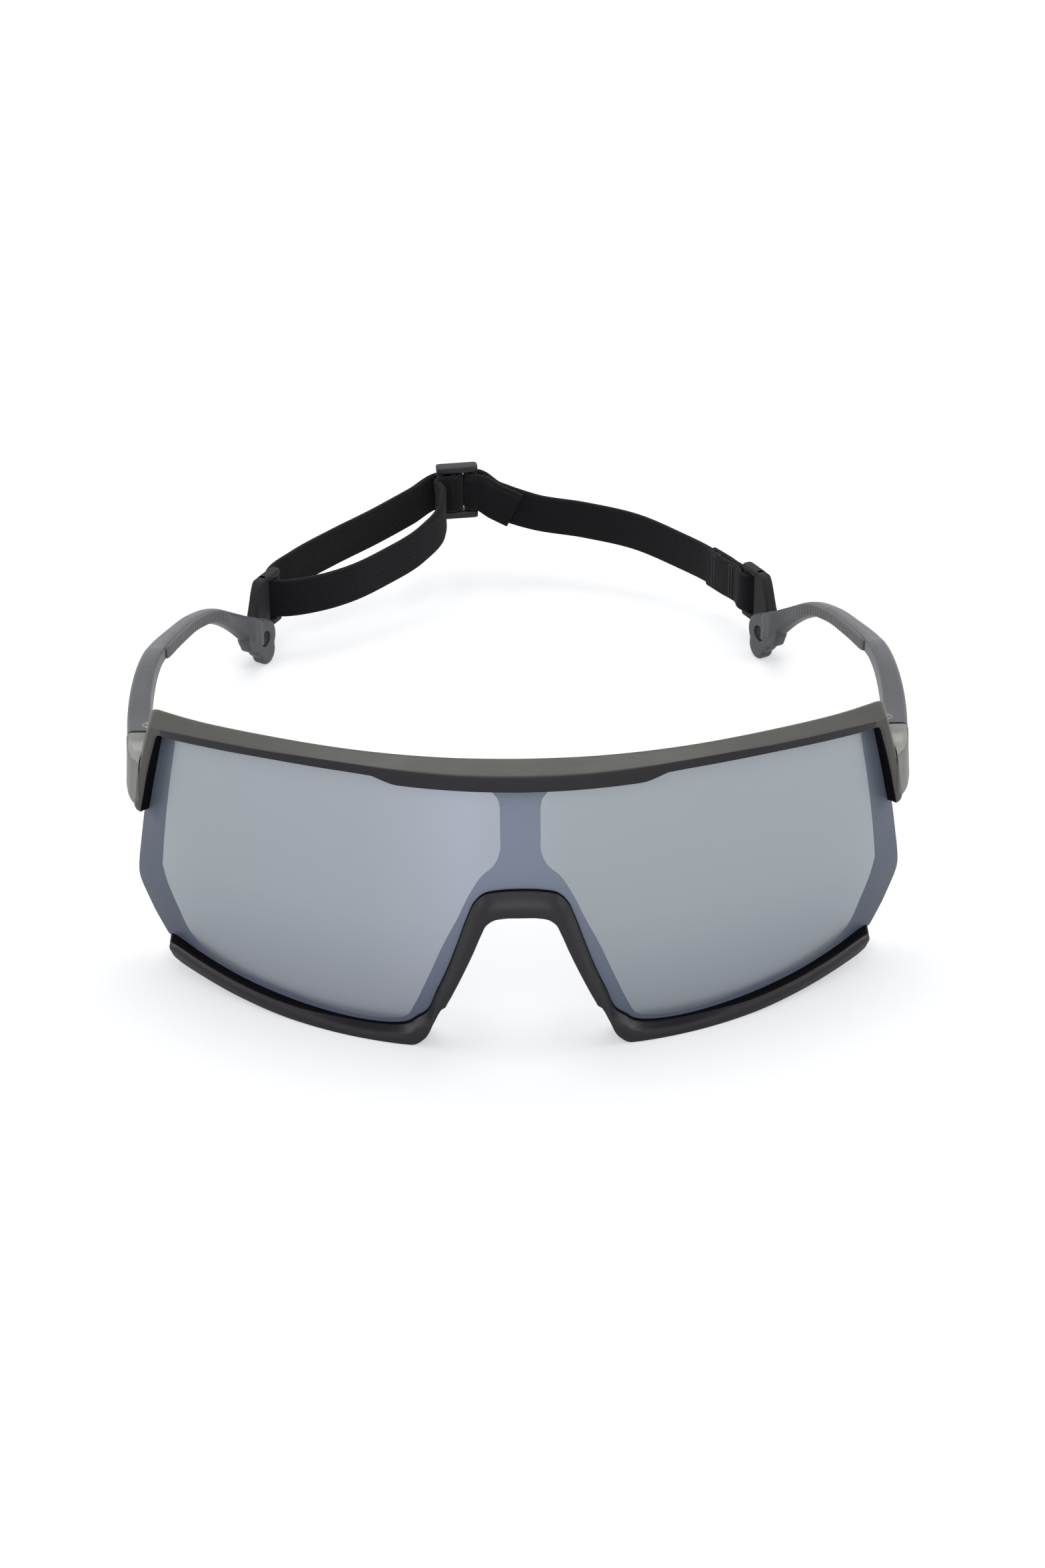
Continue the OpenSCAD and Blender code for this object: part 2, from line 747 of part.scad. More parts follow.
// The left clip: a boss with the peg, and a frame with the strap's bar
module strap_clip() {
    clip_low_z = clip_z - clip_h / 2;
    at_tip() {
        tip_plate(clip_y, clip_t)
            difference() {
                union() {
                    translate([0, tip_z])
                        circle(peg_r * boss_share);
                    polygon([[0, tip_z + peg_r * boss_share], [neck_start, clip_low_z + clip_h],
                        [neck_start, clip_low_z], [0, tip_z - peg_r * boss_share]]);
                    translate([neck_start, clip_low_z])
                        square([clip_end - neck_start, clip_h]);
                }
                translate([slot_start, clip_low_z + clip_rail])
                    square([clip_end, clip_h - 2 * clip_rail]);
            }
        translate([clip_l, clip_y + clip_t / 2, clip_low_z])
            cylinder(h = clip_h, r = bar_r);
        translate([0, clip_y + clip_t / 2, tip_z])
            rotate([90, 0, 0])
                cylinder(h = clip_y + clip_t / 2 + tip_t / 2 - rail_gap, r = peg_r);
    }
}

module left_strap_clip() {
    color([0.3, 0.3, 0.31])
        placed()
            strap_clip();
}

module right_strap_clip() {
    color([0.3, 0.3, 0.31])
        placed()
            right_side()
                strap_clip();
}

// Webbing of the given thickness that stands on its edge along a route
function unit(v) = v / norm(v);
function flat_across(p, i) =
    let (d = p[min(i + 1, len(p) - 1)] - p[max(i - 1, 0)], u = unit([d.x, d.y]))
    [-u.y, u.x, 0];
module webbing(p, thick) {
    n = len(p);
    up = [0, 0, strap_w / 2];
    points = [for (i = [0:n - 1])
        let (side = flat_across(p, i) * thick / 2)
        for (corner = [side - up, side + up, up - side, -side - up]) p[i] + corner];
    sides = [for (i = [0:n - 2]) for (k = [0:3])
        let (a = 4 * i + k, b = 4 * i + (k + 1) % 4)
        for (face = [[b, a, b + 4], [b + 4, a, a + 4]]) face];
    ends = [[2, 3, 0], [1, 2, 0], [4 * n - 2, 4 * n - 3, 4 * n - 4],
        [4 * n - 1, 4 * n - 2, 4 * n - 4]];
    polyhedron(points, concat(sides, ends));
}

// A closed loop of webbing round a bar
module ring(at, z, inner_r, outer_r) {
    translate([at.x, at.y, z - strap_w / 2])
        difference() {
            cylinder(h = strap_w, r = outer_r);
            translate([0, 0, -over])
                cylinder(h = strap_w + 2 * over, r = inner_r);
        }
}

module strap_loop() {
    wrap = [for (i = [0:6])
        let (a = wrap_from + (wrap_to - wrap_from) * i / 6)
        [-bar_x + clip_wrap_r * cos(a), bar_y + clip_wrap_r * sin(a), clip_z]];
    rear = [loop_bar.x, loop_bar.y + wrap_r, slider_z];
    near = [loop_bar.x, loop_bar.y - wrap_r, slider_z];
    color([0.16, 0.16, 0.17])
        placed() {
            webbing(concat([rear], smooth(concat([rear - [strap_t, 0, 0]],
                [for (s = outer_shares) place(s)]), 3), wrap,
                smooth(concat([for (s = inner_shares) place(s)], [near]), 3)), strap_t);
            ring(loop_bar, slider_z, wrap_r - strap_t / 2, wrap_r + strap_t / 2);
        }
}

module strap_right() {
    start = [pivot.x + wrap_r, pivot.y, slider_z];
    color([0.16, 0.16, 0.17])
        placed() {
            webbing(smooth(concat([start], [for (s = right_shares) place(s)], [bend]), 3), strap_t);
            ring(pivot, slider_z, wrap_r - strap_t / 2, wrap_r + strap_t / 2);
            translate([bend.x, bend.y, bend.z - strap_w / 2])
                cylinder(h = strap_w, r = strap_t * bend_round_share);
        }
}

// The right end of the strap: webbing sewn double round the clip's bar
module strap_end() {
    bar = [bar_x, bar_y, clip_z];
    away = unit(bend - bar);
    color([0.16, 0.16, 0.17])
        placed() {
            webbing([bar + away * clip_wrap_r, bend - away * (strap_t / 2 + 2 * seat_gap)],
                2 * strap_t);
            ring(bar, clip_z, clip_wrap_r - strap_t / 2, clip_wrap_r + strap_t / 2);
        }
}

module strap_slider() {
    color([0.1, 0.1, 0.1])
        placed()
            translate([slider_mid.x, slider_mid.y, slider_z - slider_h / 2])
                rotate([0, 0, slider_turn]) {
                    for (z = [0, slider_h - slider_rail])
                        translate([-slider_l / 2, -slider_t / 2, z])
                            cube([slider_l, slider_t, slider_rail]);
                    for (x = [-slider_pitch, 0, slider_pitch])
                        translate([x, 0, 0])
                            cylinder(h = slider_h, r = slider_bar_r);
                }
}

brow_frame();
lens();
lower_rim();
nose_bracket();
nose_pad_left();
nose_pad_right();
left_temple();
right_temple();
left_ear_grip();
right_ear_grip();
left_hinge_screw();
right_hinge_screw();
left_hinge_nut();
right_hinge_nut();
left_strap_clip();
right_strap_clip();
strap_loop();
strap_right();
strap_end();
strap_slider();
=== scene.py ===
# Wrap sports sunglasses with a mirrored shield lens and a webbing retainer strap.
# Shapes are worked out in millimetres, with y = 0 at the lens apex and the glasses facing -Y, and placeOnModel() moves
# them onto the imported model. A piece that comes in a pair is built once and mirrored.
import math
import bmesh
import bpy
import numpy as np
from mathutils import Matrix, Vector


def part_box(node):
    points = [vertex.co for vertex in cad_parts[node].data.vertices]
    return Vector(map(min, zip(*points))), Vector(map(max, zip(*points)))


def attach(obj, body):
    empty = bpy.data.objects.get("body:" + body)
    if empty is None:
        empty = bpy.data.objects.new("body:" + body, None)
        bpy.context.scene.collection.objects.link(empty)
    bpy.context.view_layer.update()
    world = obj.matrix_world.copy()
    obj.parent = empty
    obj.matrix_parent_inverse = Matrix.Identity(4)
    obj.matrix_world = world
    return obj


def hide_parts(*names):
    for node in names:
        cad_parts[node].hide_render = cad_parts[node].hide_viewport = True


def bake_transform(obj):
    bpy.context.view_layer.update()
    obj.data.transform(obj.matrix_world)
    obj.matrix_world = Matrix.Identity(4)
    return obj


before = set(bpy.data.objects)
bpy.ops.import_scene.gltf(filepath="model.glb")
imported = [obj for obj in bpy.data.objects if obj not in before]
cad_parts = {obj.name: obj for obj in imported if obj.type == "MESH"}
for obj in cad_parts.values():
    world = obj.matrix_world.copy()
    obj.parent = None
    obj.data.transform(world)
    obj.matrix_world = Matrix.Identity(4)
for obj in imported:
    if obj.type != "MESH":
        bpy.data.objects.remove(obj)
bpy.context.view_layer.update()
print("frame loaded")

glasses = {
    "middleY": 100.58074,     # the lens apex lies this far in front of the centre
    "seamY": 36.9728,         # where the temples begin
    "hingeX": 67.4, "hingeY": 39.4728, "hingeZ": 42.6,
    "tipX": 55.0, "tipY": 154.9728, "tipZ": 6.4, "tipTurn": 62.0,
    "clipBar": (52.355, 165.9115, 11.6),
    "sliderBar": (-8.3, 201.7115, 20.2), "sliderTurn": 8.0,
    "bend": (44.2923, 179.5871, 11.196),
}


def placeOnModel(points):
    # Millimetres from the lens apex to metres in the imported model's frame.
    return (np.asarray(points, float) - (0, glasses["middleY"], 0)) / 1000


def gridFaces(rows, columns, closed=False, offset=0):
    # Quads of a grid of rows by columns, each as i*columns+j; closed joins the last column to the first.
    i, j = np.meshgrid(np.arange(rows - 1), np.arange(columns if closed else columns - 1), indexing="ij")
    k = (j + 1) % columns
    quads = np.stack([i * columns + j, i * columns + k, (i + 1) * columns + k, (i + 1) * columns + j], -1)
    return (quads.reshape(-1, 4) + offset).tolist()


weldReach = 2e-7   # metres: points nearer than this are one point


def addPiece(name, points, faces, body, slot, material, nodes=(), sharp=38, uv=None, ride=True, weld=False):
    # A mesh piece in place of the named nodes; sharp is the angle past which an edge stays crisp. It rides on a body,
    # unless ride is false.
    mesh = bpy.data.meshes.new(name)
    mesh.from_pydata(placeOnModel(points).tolist(), [], faces)
    if weld:   # a row that meets in one point becomes one vertex, and its faces without area go
        work = bmesh.new()
        work.from_mesh(mesh)
        bmesh.ops.remove_doubles(work, verts=work.verts, dist=weldReach)
        bmesh.ops.dissolve_degenerate(work, edges=work.edges, dist=weldReach)
        work.to_mesh(mesh)
        work.free()
    mesh.validate()
    if uv is not None:
        layer = mesh.uv_layers.new(name="weave")
        corners = np.empty(len(mesh.loops), np.int32)
        mesh.loops.foreach_get("vertex_index", corners)
        layer.data.foreach_set("uv", np.asarray(uv, float)[corners].ravel())
    mesh.shade_smooth()
    mesh.set_sharp_from_angle(angle=math.radians(sharp))
    mesh.materials.append(material)
    piece = bpy.data.objects.new(name, mesh)
    bpy.context.scene.collection.objects.link(piece)
    if ride:
        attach(piece, body)
    if nodes:
        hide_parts(*nodes)
    return piece


def joined(*parts):
    # Several (points, faces) pairs as one, each after the other.
    points, faces, count = [], [], 0
    for partPoints, partFaces in parts:
        partPoints = np.asarray(partPoints, float).reshape(-1, 3)
        points.append(partPoints)
        faces += [[k + count for k in face] for face in partFaces]
        count += len(partPoints)
    return np.concatenate(points), faces


def mirrored(part):
    # The same part on the other side: x changes sign and the faces turn round.
    points, faces = part
    return points * (-1, 1, 1), [face[::-1] for face in faces]


def tube(sections):
    # A closed solid from an array of rows of section points: quads between the rows and a cap on each end.
    rows, columns = sections.shape[:2]
    faces = gridFaces(rows, columns, closed=True)
    faces.append(list(range(columns))[::-1])
    faces.append([(rows - 1) * columns + k for k in range(columns)])
    return outward(sections.reshape(-1, 3), faces)


def ringTube(sections):
    # The same as a closed ring: quads between the rows, with the last row joined to the first.
    rows, columns = sections.shape[:2]
    last = (rows - 1) * columns
    faces = gridFaces(rows, columns, closed=True)
    faces += [[last + k, last + (k + 1) % columns, (k + 1) % columns, k] for k in range(columns)]
    return outward(sections.reshape(-1, 3), faces)


def outward(points, faces):
    # Turns all the faces round where the solid's signed volume, summed over its faces, is negative.
    volume = 0.0
    for size in sorted({len(face) for face in faces}):
        ring = points[np.array([face for face in faces if len(face) == size])]
        for k in range(1, size - 1):
            volume += np.einsum("ij,ij->i", ring[:, 0], np.cross(ring[:, k], ring[:, k + 1])).sum()
    return points, (faces if volume > 0 else [face[::-1] for face in faces])


def smoothPath(points, count):
    # A curve through points: cubic, each coordinate against the chord length, as count even steps.
    points = np.asarray(points, float)
    for step in range(2):
        chord = np.concatenate([[0], np.cumsum(np.linalg.norm(np.diff(points, axis=0), axis=1))])
        if step == 0:
            slopes = np.gradient(points, chord, axis=0)
            at = np.linspace(0, chord[-1], count * 8)
            k = np.clip(np.searchsorted(chord, at, side="right") - 1, 0, len(chord) - 2)
            span = (chord[k + 1] - chord[k])[:, None]
            t = (at - chord[k])[:, None] / span
            points = ((1 + 2 * t) * (1 - t) ** 2 * points[k] + t * (1 - t) ** 2 * span * slopes[k]
                      + t * t * (3 - 2 * t) * points[k + 1] + t * t * (t - 1) * span * slopes[k + 1])
        else:
            at = np.linspace(0, chord[-1], count)
            points = np.stack([np.interp(at, chord, c) for c in points.T], -1)
    return points


def roundedSection(width, height, radius, corner=6, flat=3):
    # Points round a rectangle of width by height: corner points on a quarter circle at each corner, then flat points
    # spread evenly over the side up to the next. Arrays of width, height and radius give one section per row.
    width, height, radius = (np.asarray(value, float)[..., None] for value in (width, height, radius))
    turns = np.linspace(0, np.pi / 2, corner)
    signs = ((1, 1), (-1, 1), (-1, -1), (1, -1))
    u, v = [], []
    for quarter in range(4):
        angle, nextAngle = turns + quarter * np.pi / 2, (quarter + 1) * np.pi / 2
        sign, nextSign = signs[quarter], signs[(quarter + 1) % 4]
        u.append(sign[0] * (width / 2 - radius) + radius * np.cos(angle))
        v.append(sign[1] * (height / 2 - radius) + radius * np.sin(angle))
        startU, startV = u[-1][..., -1:], v[-1][..., -1:]
        endU = nextSign[0] * (width / 2 - radius) + radius * np.cos(nextAngle)
        endV = nextSign[1] * (height / 2 - radius) + radius * np.sin(nextAngle)
        for k in range(1, flat + 1):
            t = k / (flat + 1)
            u.append(startU + (endU - startU) * t)
            v.append(startV + (endV - startV) * t)
    return np.concatenate(u, -1), np.concatenate(v, -1)


def carried(path, width, height, radius, corner=6, flat=3, closed=False):
    # A rounded section carried along a path: its width lies level across the path, and its height stands square to
    # both, so that it leans with the path's slope.
    along = np.gradient(path, axis=0)
    if closed:
        along = np.roll(path, -1, 0) - np.roll(path, 1, 0)
    along /= np.linalg.norm(along, axis=1)[:, None]
    across = np.stack([-along[:, 1], along[:, 0], 0 * along[:, 0]], -1)
    across /= np.linalg.norm(across, axis=1)[:, None]
    upright = np.cross(across, along) * -1
    upright *= np.sign(upright[:, 2:3] + 1e-9)
    u, v = roundedSection(*(np.full(len(path), size) for size in (width, height, radius)), corner, flat)
    return path[:, None] + u[..., None] * across[:, None] + v[..., None] * upright[:, None]


def socket(node, **values):
    # Sets a node's sockets by their names, with _ for a space.
    for key, value in values.items():
        node.inputs[key.replace("_", " ")].default_value = value


def plainMaterial(name):
    # A material with its tree, its Principled shader, its object coordinates and its UV.
    material = bpy.data.materials.new(name)
    material.use_nodes = True
    tree = material.node_tree
    shader = tree.nodes["Principled BSDF"]
    coords = tree.nodes.new("ShaderNodeTexCoord")
    return material, tree, shader, coords.outputs["Object"], coords.outputs["UV"]


def noise(tree, vector, scale, detail=3.0, roughness=0.55, stretch=None):
    # Noise at scale per metre, optionally stretched.
    node = tree.nodes.new("ShaderNodeTexNoise")
    socket(node, Scale=scale, Detail=detail, Roughness=roughness)
    if stretch:
        mapping = tree.nodes.new("ShaderNodeMapping")
        mapping.inputs["Scale"].default_value = stretch
        tree.links.new(vector, mapping.inputs["Vector"])
        vector = mapping.outputs["Vector"]
    tree.links.new(vector, node.inputs["Vector"])
    return node.outputs["Fac"]


def ramp(tree, value, stops):
    # A colour ramp with stops of (place, colour).
    node = tree.nodes.new("ShaderNodeValToRGB")
    elements = node.color_ramp.elements
    while len(elements) < len(stops):
        elements.new(0.5)
    for element, (place, colour) in zip(elements, stops):
        element.position = place
        element.color = (*colour, 1)
    tree.links.new(value, node.inputs["Fac"])
    return node.outputs["Color"]


def spread(tree, value, low, high, start=0.25, stop=0.75):
    # A value that runs from low to high while the given one runs from start to stop.
    node = tree.nodes.new("ShaderNodeMapRange")
    socket(node, From_Min=start, From_Max=stop, To_Min=low, To_Max=high)
    tree.links.new(value, node.inputs["Value"])
    return node.outputs["Result"]


def calculate(tree, operation, *values):
    # A maths node on the outputs of other nodes and plain numbers.
    node = tree.nodes.new("ShaderNodeMath")
    node.operation = operation
    for entry, value in zip(node.inputs, values):
        if isinstance(value, (int, float)):
            entry.default_value = value
        else:
            tree.links.new(value, entry)
    return node.outputs[0]


def separated(tree, vector):
    # A vector's three numbers.
    node = tree.nodes.new("ShaderNodeSeparateXYZ")
    tree.links.new(vector, node.inputs[0])
    return node.outputs


def bump(tree, shader, height, distance, strength=1.0, before=None):
    # A bump of distance metres onto the shader, over one before it.
    node = tree.nodes.new("ShaderNodeBump")
    socket(node, Distance=distance, Strength=strength)
    tree.links.new(height, node.inputs["Height"])
    if before:
        tree.links.new(before, node.inputs["Normal"])
    tree.links.new(node.outputs["Normal"], shader.inputs["Normal"])
    return node.outputs["Normal"]


def shade(colour, factor):
    # A colour made darker or lighter.
    return tuple(min(1.0, c * factor) for c in colour)


def mouldedPlastic(name, colour, roughness, gloss=0.5, grain=0.00002, mottling=0.09):
    # Moulded nylon: slow mottling of the colour, a gloss that varies finely, and a fine grain as bump.
    material, tree, shader, place, _ = plainMaterial(name)
    slow = noise(tree, place, 90, 2)
    tree.links.new(ramp(tree, slow, [(0.3, shade(colour, 1 - mottling)), (0.7, shade(colour, 1 + mottling))]),
                   shader.inputs["Base Color"])
    streaks = noise(tree, place, 420, 4, 0.7, (1, 6, 1))
    tree.links.new(spread(tree, streaks, roughness - 0.06, roughness + 0.07), shader.inputs["Roughness"])
    bump(tree, shader, noise(tree, place, 5200, 2, 0.6), grain, 0.6)
    socket(shader, Specular_IOR_Level=gloss)
    return material


def softRubber(name, colour):
    # Matte rubber: dusty mottling and a faint pebbled skin.
    material, tree, shader, place, _ = plainMaterial(name)
    dust = noise(tree, place, 160, 5, 0.7)
    tree.links.new(ramp(tree, dust, [(0.35, shade(colour, 0.86)), (0.8, shade(colour, 1.25))]),
                   shader.inputs["Base Color"])
    tree.links.new(spread(tree, dust, 0.62, 0.8), shader.inputs["Roughness"])
    bump(tree, shader, noise(tree, place, 2600, 3, 0.6), 0.00003, 0.7)
    socket(shader, Sheen_Weight=0.12, Sheen_Roughness=0.5)
    return material


lensPaintedLight = {
    "heights": (0.004, 0.054),   # metres, where the painted shade up the lens begins and ends
    "halfWidth": 0.07,           # metres, from the middle to the ends of the painted shade and reflection across it
    "left": (0.9, 0.92, 0.9), "leftLobe": (0.96, 0.965, 0.96),
    "right": (0.91, 0.93, 0.91), "rightLobe": (0.95, 0.97, 0.94),
}


def mirrorLens(name, colour, low, metallic, roughness, gloss, coat, fade=(0.0, 0.45), sides=1.0,
               middle=(1.1, 1.09, 1.16)):
    # Polycarbonate: a colour that runs from low to colour up the lens, darker towards the bottom as painted shade,
    # which on the mirror stands for a painted reflection of the shaded floor, times painted shade and reflection across
    # it with its own middle and with the outermost strip at sides times the rest, darker where the lens turns to the
    # sides. The gloss varies a little in level streaks.
    material, tree, shader, place, _ = plainMaterial(name)
    x, _, z = separated(tree, place)
    rise = spread(tree, z, 0.0, 1.0, *lensPaintedLight["heights"])
    tint = ramp(tree, rise, [(fade[0], low), (fade[1], shade(colour, 0.96)), (1.0, colour)])
    side = spread(tree, x, 0.0, 1.0, -lensPaintedLight["halfWidth"], lensPaintedLight["halfWidth"])
    left, right = lensPaintedLight["left"], lensPaintedLight["right"]
    acrossShadeAndReflection = ramp(tree, side, [(0.045, shade(left, sides)), (0.075, left), (0.3, lensPaintedLight["leftLobe"]), (0.43, middle),
                              (0.56, lensPaintedLight["rightLobe"]), (0.925, right), (0.955, shade(right, sides))])
    mix = tree.nodes.new("ShaderNodeMix")
    mix.data_type = "RGBA"
    mix.blend_type = "MULTIPLY"
    mix.inputs["Factor"].default_value = 1.0
    tree.links.new(tint, mix.inputs[6])    # colours A and B
    tree.links.new(acrossShadeAndReflection, mix.inputs[7])
    tree.links.new(mix.outputs[2], shader.inputs["Base Color"])
    streaks = noise(tree, place, 300, 5, 0.65, (1, 1, 4))
    tree.links.new(spread(tree, streaks, roughness, roughness + 0.02), shader.inputs["Roughness"])
    socket(shader, Metallic=metallic, IOR=1.58, Specular_IOR_Level=gloss, Coat_Weight=coat, Coat_Roughness=0.04)
    return material


def metal(name, colour, roughness):
    # Turned metal: fine brushing round the vertical axis, in its colour and gloss.
    material, tree, shader, place, _ = plainMaterial(name)
    brush = noise(tree, place, 900, 4, 0.6, (1, 1, 14))
    tree.links.new(ramp(tree, brush, [(0.3, shade(colour, 0.82)), (0.75, shade(colour, 1.12))]),
                   shader.inputs["Base Color"])
    tree.links.new(spread(tree, brush, roughness - 0.07, roughness + 0.1), shader.inputs["Roughness"])
    socket(shader, Metallic=1.0)
    bump(tree, shader, brush, 0.00001, 0.5)
    return material


weave = {"pitch": 0.00062, "warpPitch": 0.00088, "height": 0.00016, "fuzz": 0.00006}   # metres


def webbingCloth(name, colour):
    # Ribbed elastic webbing in UV metres: cross ribs by a sine along its length, warp yarns by a sine across it,
    # their product as the weave, and fuzz on top.
    material, tree, shader, place, uv = plainMaterial(name)
    along, across, _ = separated(tree, uv)

    def wave(output, pitch):
        # The sine of a place times a full turn over the pitch.
        return calculate(tree, "SINE", calculate(tree, "MULTIPLY", output, 2 * math.pi / pitch))

    yarns = calculate(tree, "MULTIPLY_ADD", wave(along, weave["pitch"]), wave(across, weave["warpPitch"]), 0.5)
    fuzz = noise(tree, place, 2400, 4, 0.7)
    # The colour follows the weave's height, darker in the hollows and lighter on the crests: painted shade and
    # highlight, with the fuzz as random tone.
    shadeAndFuzz = spread(tree, calculate(tree, "ADD", yarns, fuzz), 0.0, 1.0, -0.2, 1.9)
    tree.links.new(ramp(tree, shadeAndFuzz, [(0.15, shade(colour, 0.55)), (0.85, shade(colour, 1.5))]),
                   shader.inputs["Base Color"])
    first = bump(tree, shader, yarns, weave["height"], 0.75)
    bump(tree, shader, fuzz, weave["fuzz"], 0.5, first)
    socket(shader, Roughness=0.92, Sheen_Weight=0.06, Sheen_Roughness=0.45, Specular_IOR_Level=0.12)
    return material


finishes = {
    "frame": mouldedPlastic("satinFrame", (0.05, 0.0495, 0.044), 0.38, 0.25),
    # The band's finish is a darker copy of the frame's plastic: painted shade on the front face below the crease, which
    # faces away from the light above.
    "band": mouldedPlastic("paintedShadeBand", (0.012, 0.012, 0.0155), 0.38, 0.25),
    # The end pieces have a lighter copy of the frame's plastic, painted sheen of their sides seen at a grazing angle,
    # and a paler one on the faces that look up, painted highlight.
    "endPiece": mouldedPlastic("paintedSheenEndPiece", (0.14, 0.139, 0.128), 0.38, 0.4),
    "litEndTop": mouldedPlastic("paintedHighlightEndTop", (0.22, 0.22, 0.205), 0.36, 0.5),
    # Near-black for the walls that face the lens's edge: painted shade where the lens sits deep in the brow and the
    # rim.
    "wall": mouldedPlastic("shadedWall", (0.004, 0.004, 0.005), 0.6, 0.04),
    "temple": mouldedPlastic("satinTemple", (0.062, 0.0645, 0.072), 0.42, 0.3),
    "rim": mouldedPlastic("satinRim", (0.0085, 0.0085, 0.0105), 0.36, 0.3),
    # The lens and the mirror run darker towards the bottom, and the lens's outermost strips darker still (sides):
    # painted shade and painted reflection.
    "lens": mirrorLens("smokeLens", (0.225, 0.262, 0.345), (0.13, 0.15, 0.215), 0.0, 0.5, 0.15, 0.03,
                       fade=(0.05, 0.68), sides=0.64, middle=(1.0, 1.0, 1.0)),
    "mirror": mirrorLens("mirrorCoat", (0.345, 0.377, 0.42), (0.287, 0.306, 0.358), 0.45, 0.3, 0.5, 0.15),
    "rubber": softRubber("mattRubber", (0.04, 0.04, 0.043)),
    "screw": metal("plainSteel", (0.3, 0.3, 0.31), 0.36),
    "nut": metal("plainBrass", (0.62, 0.46, 0.22), 0.32),
    "clip": mouldedPlastic("mouldedClip", (0.014, 0.014, 0.0155), 0.55, 0.15),
    "slider": mouldedPlastic("mouldedSlider", (0.012, 0.012, 0.014), 0.4, 0.3),
    "webbing": webbingCloth("ribbedWebbing", (0.0075, 0.0075, 0.009)),
    "thread": softRubber("stitchThread", (0.012, 0.012, 0.014)),
}
print("finishes ready")

# Lens surface
lensShape = {"acrossRadius": 88.0, "riseRadius": 160.0, "fullHeight": 32.0, "proud": 3.0}


def onLens(x, z, depth, proud=None):
    # A point of the surface proud mm in front of the lens, straight behind (x, z) as seen from the front, moved
    # along the surface's own normal to depth mm in front of the lens. The surface is a circle of the rise radius
    # turned about the vertical axis at the across radius behind the apex.
    x, z, depth = np.broadcast_arrays(*(np.asarray(v, float) for v in (x, z, depth)))
    proud = lensShape["proud"] if proud is None else proud
    rise = lensShape["riseRadius"] + proud
    across = lensShape["acrossRadius"]
    lift = z - lensShape["fullHeight"]
    r = across - lensShape["riseRadius"] + np.sqrt(rise ** 2 - lift ** 2)
    y = across - np.sqrt(r ** 2 - x ** 2)
    level = (r + lensShape["riseRadius"] - across) / rise
    normal = np.stack([level * x / r, level * (y - across) / r, lift / rise], -1)
    return np.stack([x, y, z], -1) + normal * (depth - proud)[..., None]


def roundedPolygon(corners, reaches, steps=6, between=0):
    # Rows of polygons with rounded corners, in any number of coordinates: each corner is a quadratic curve whose
    # ends lie its reach away, followed by points spread evenly over the side up to the next corner.
    corners = np.asarray(corners, float)
    before, after = np.roll(corners, 1, 1) - corners, np.roll(corners, -1, 1) - corners
    lengths = [np.maximum(np.linalg.norm(v, axis=-1, keepdims=True), 1e-6) for v in (before, after)]
    reach = np.minimum(np.atleast_2d(reaches)[..., None], 0.45 * np.minimum(*lengths))
    a, b = corners + before / lengths[0] * reach, corners + after / lengths[1] * reach
    t = np.linspace(0, 1, steps)[None, None, :, None]
    curve = (1 - t) ** 2 * a[:, :, None] + 2 * t * (1 - t) * corners[:, :, None] + t * t * b[:, :, None]
    if between:
        q = np.linspace(0, 1, between + 2)[1:-1][None, None, :, None]
        side = (1 - q) * b[:, :, None] + q * np.roll(a, -1, 1)[:, :, None]
        curve = np.concatenate([curve, side], 2)
    return curve.reshape(len(corners), -1, corners.shape[-1])


def roundEnds(corners, reach, heading, rows=8, flatten=0.0, keep=0.0):
    # Adds rows at both ends of rows of corners (x, z, depth): each end's outline closes in a half ellipse that goes
    # reach beyond it along its heading, down to keep of its size, and its depths close in by flatten.
    turn = np.linspace(0, np.pi / 2, rows + 1)[1:, None, None] * 0.985
    made = []
    for end, way in ((corners[:1], (-1, 1)), (corners[-1:], (1, 1))):
        centre = end.mean(axis=1, keepdims=True)
        size = keep + (1 - keep) * np.cos(turn)
        shape = np.concatenate([size, size, 1 - flatten * (1 - np.cos(turn))], -1)
        push = np.array([heading[0] * way[0], heading[1], 0.0])
        made.append(centre + (end - centre) * shape + push * reach * np.sin(turn))
    return np.concatenate([made[0][::-1], corners, made[1]])


def edgeReaches(band, leg, onLeg, ends=16):
    # Rows of corner roundings that change from the band's to the leg's, for both sides and the rounded ends.
    half = np.asarray(band) + (np.asarray(leg) - np.asarray(band)) * onLeg
    shadeAndFuzz = np.concatenate([half[::-1][:-1], half])
    return np.concatenate([np.repeat(shadeAndFuzz[:1], ends // 2, 0), shadeAndFuzz, np.repeat(shadeAndFuzz[-1:], ends // 2, 0)])


def bothSides(half):
    # The left half in reverse and then the right, from the right half's rows, which start at the middle: x, which
    # comes first, changes sign.
    half = np.asarray(half, float)
    flip = np.where(np.arange(half.shape[-1]) == 0, -1, 1)
    return np.concatenate([(half[::-1] * flip)[:-1], half])


def ribbonOnLens(corners, reaches, steps=5, between=5):
    # A closed solid along the lens: rows of sections whose corners are (x, z, depth), each lying straight behind its
    # outline as seen from the front.
    section = roundedPolygon(corners, reaches, steps, between)
    points, faces = tube(onLens(section[..., 0], section[..., 1], section[..., 2], section[..., 2]))
    return points, faces, section.shape[1]


def secondFinish(piece, chosen, material):
    # Gives the chosen polygons of a piece one more finish.
    index = np.zeros(len(piece.data.polygons), np.int32)
    piece.data.polygons.foreach_get("material_index", index)
    piece.data.materials.append(material)
    index[chosen] = len(piece.data.materials) - 1
    piece.data.polygons.foreach_set("material_index", index)


def withinX(piece, reach):
    # Which faces have their middle within reach mm of the middle plane.
    middles = np.empty(len(piece.data.polygons) * 3)
    piece.data.polygons.foreach_get("center", middles)
    return np.abs(middles.reshape(-1, 3)[:, 0]) < reach / 1000


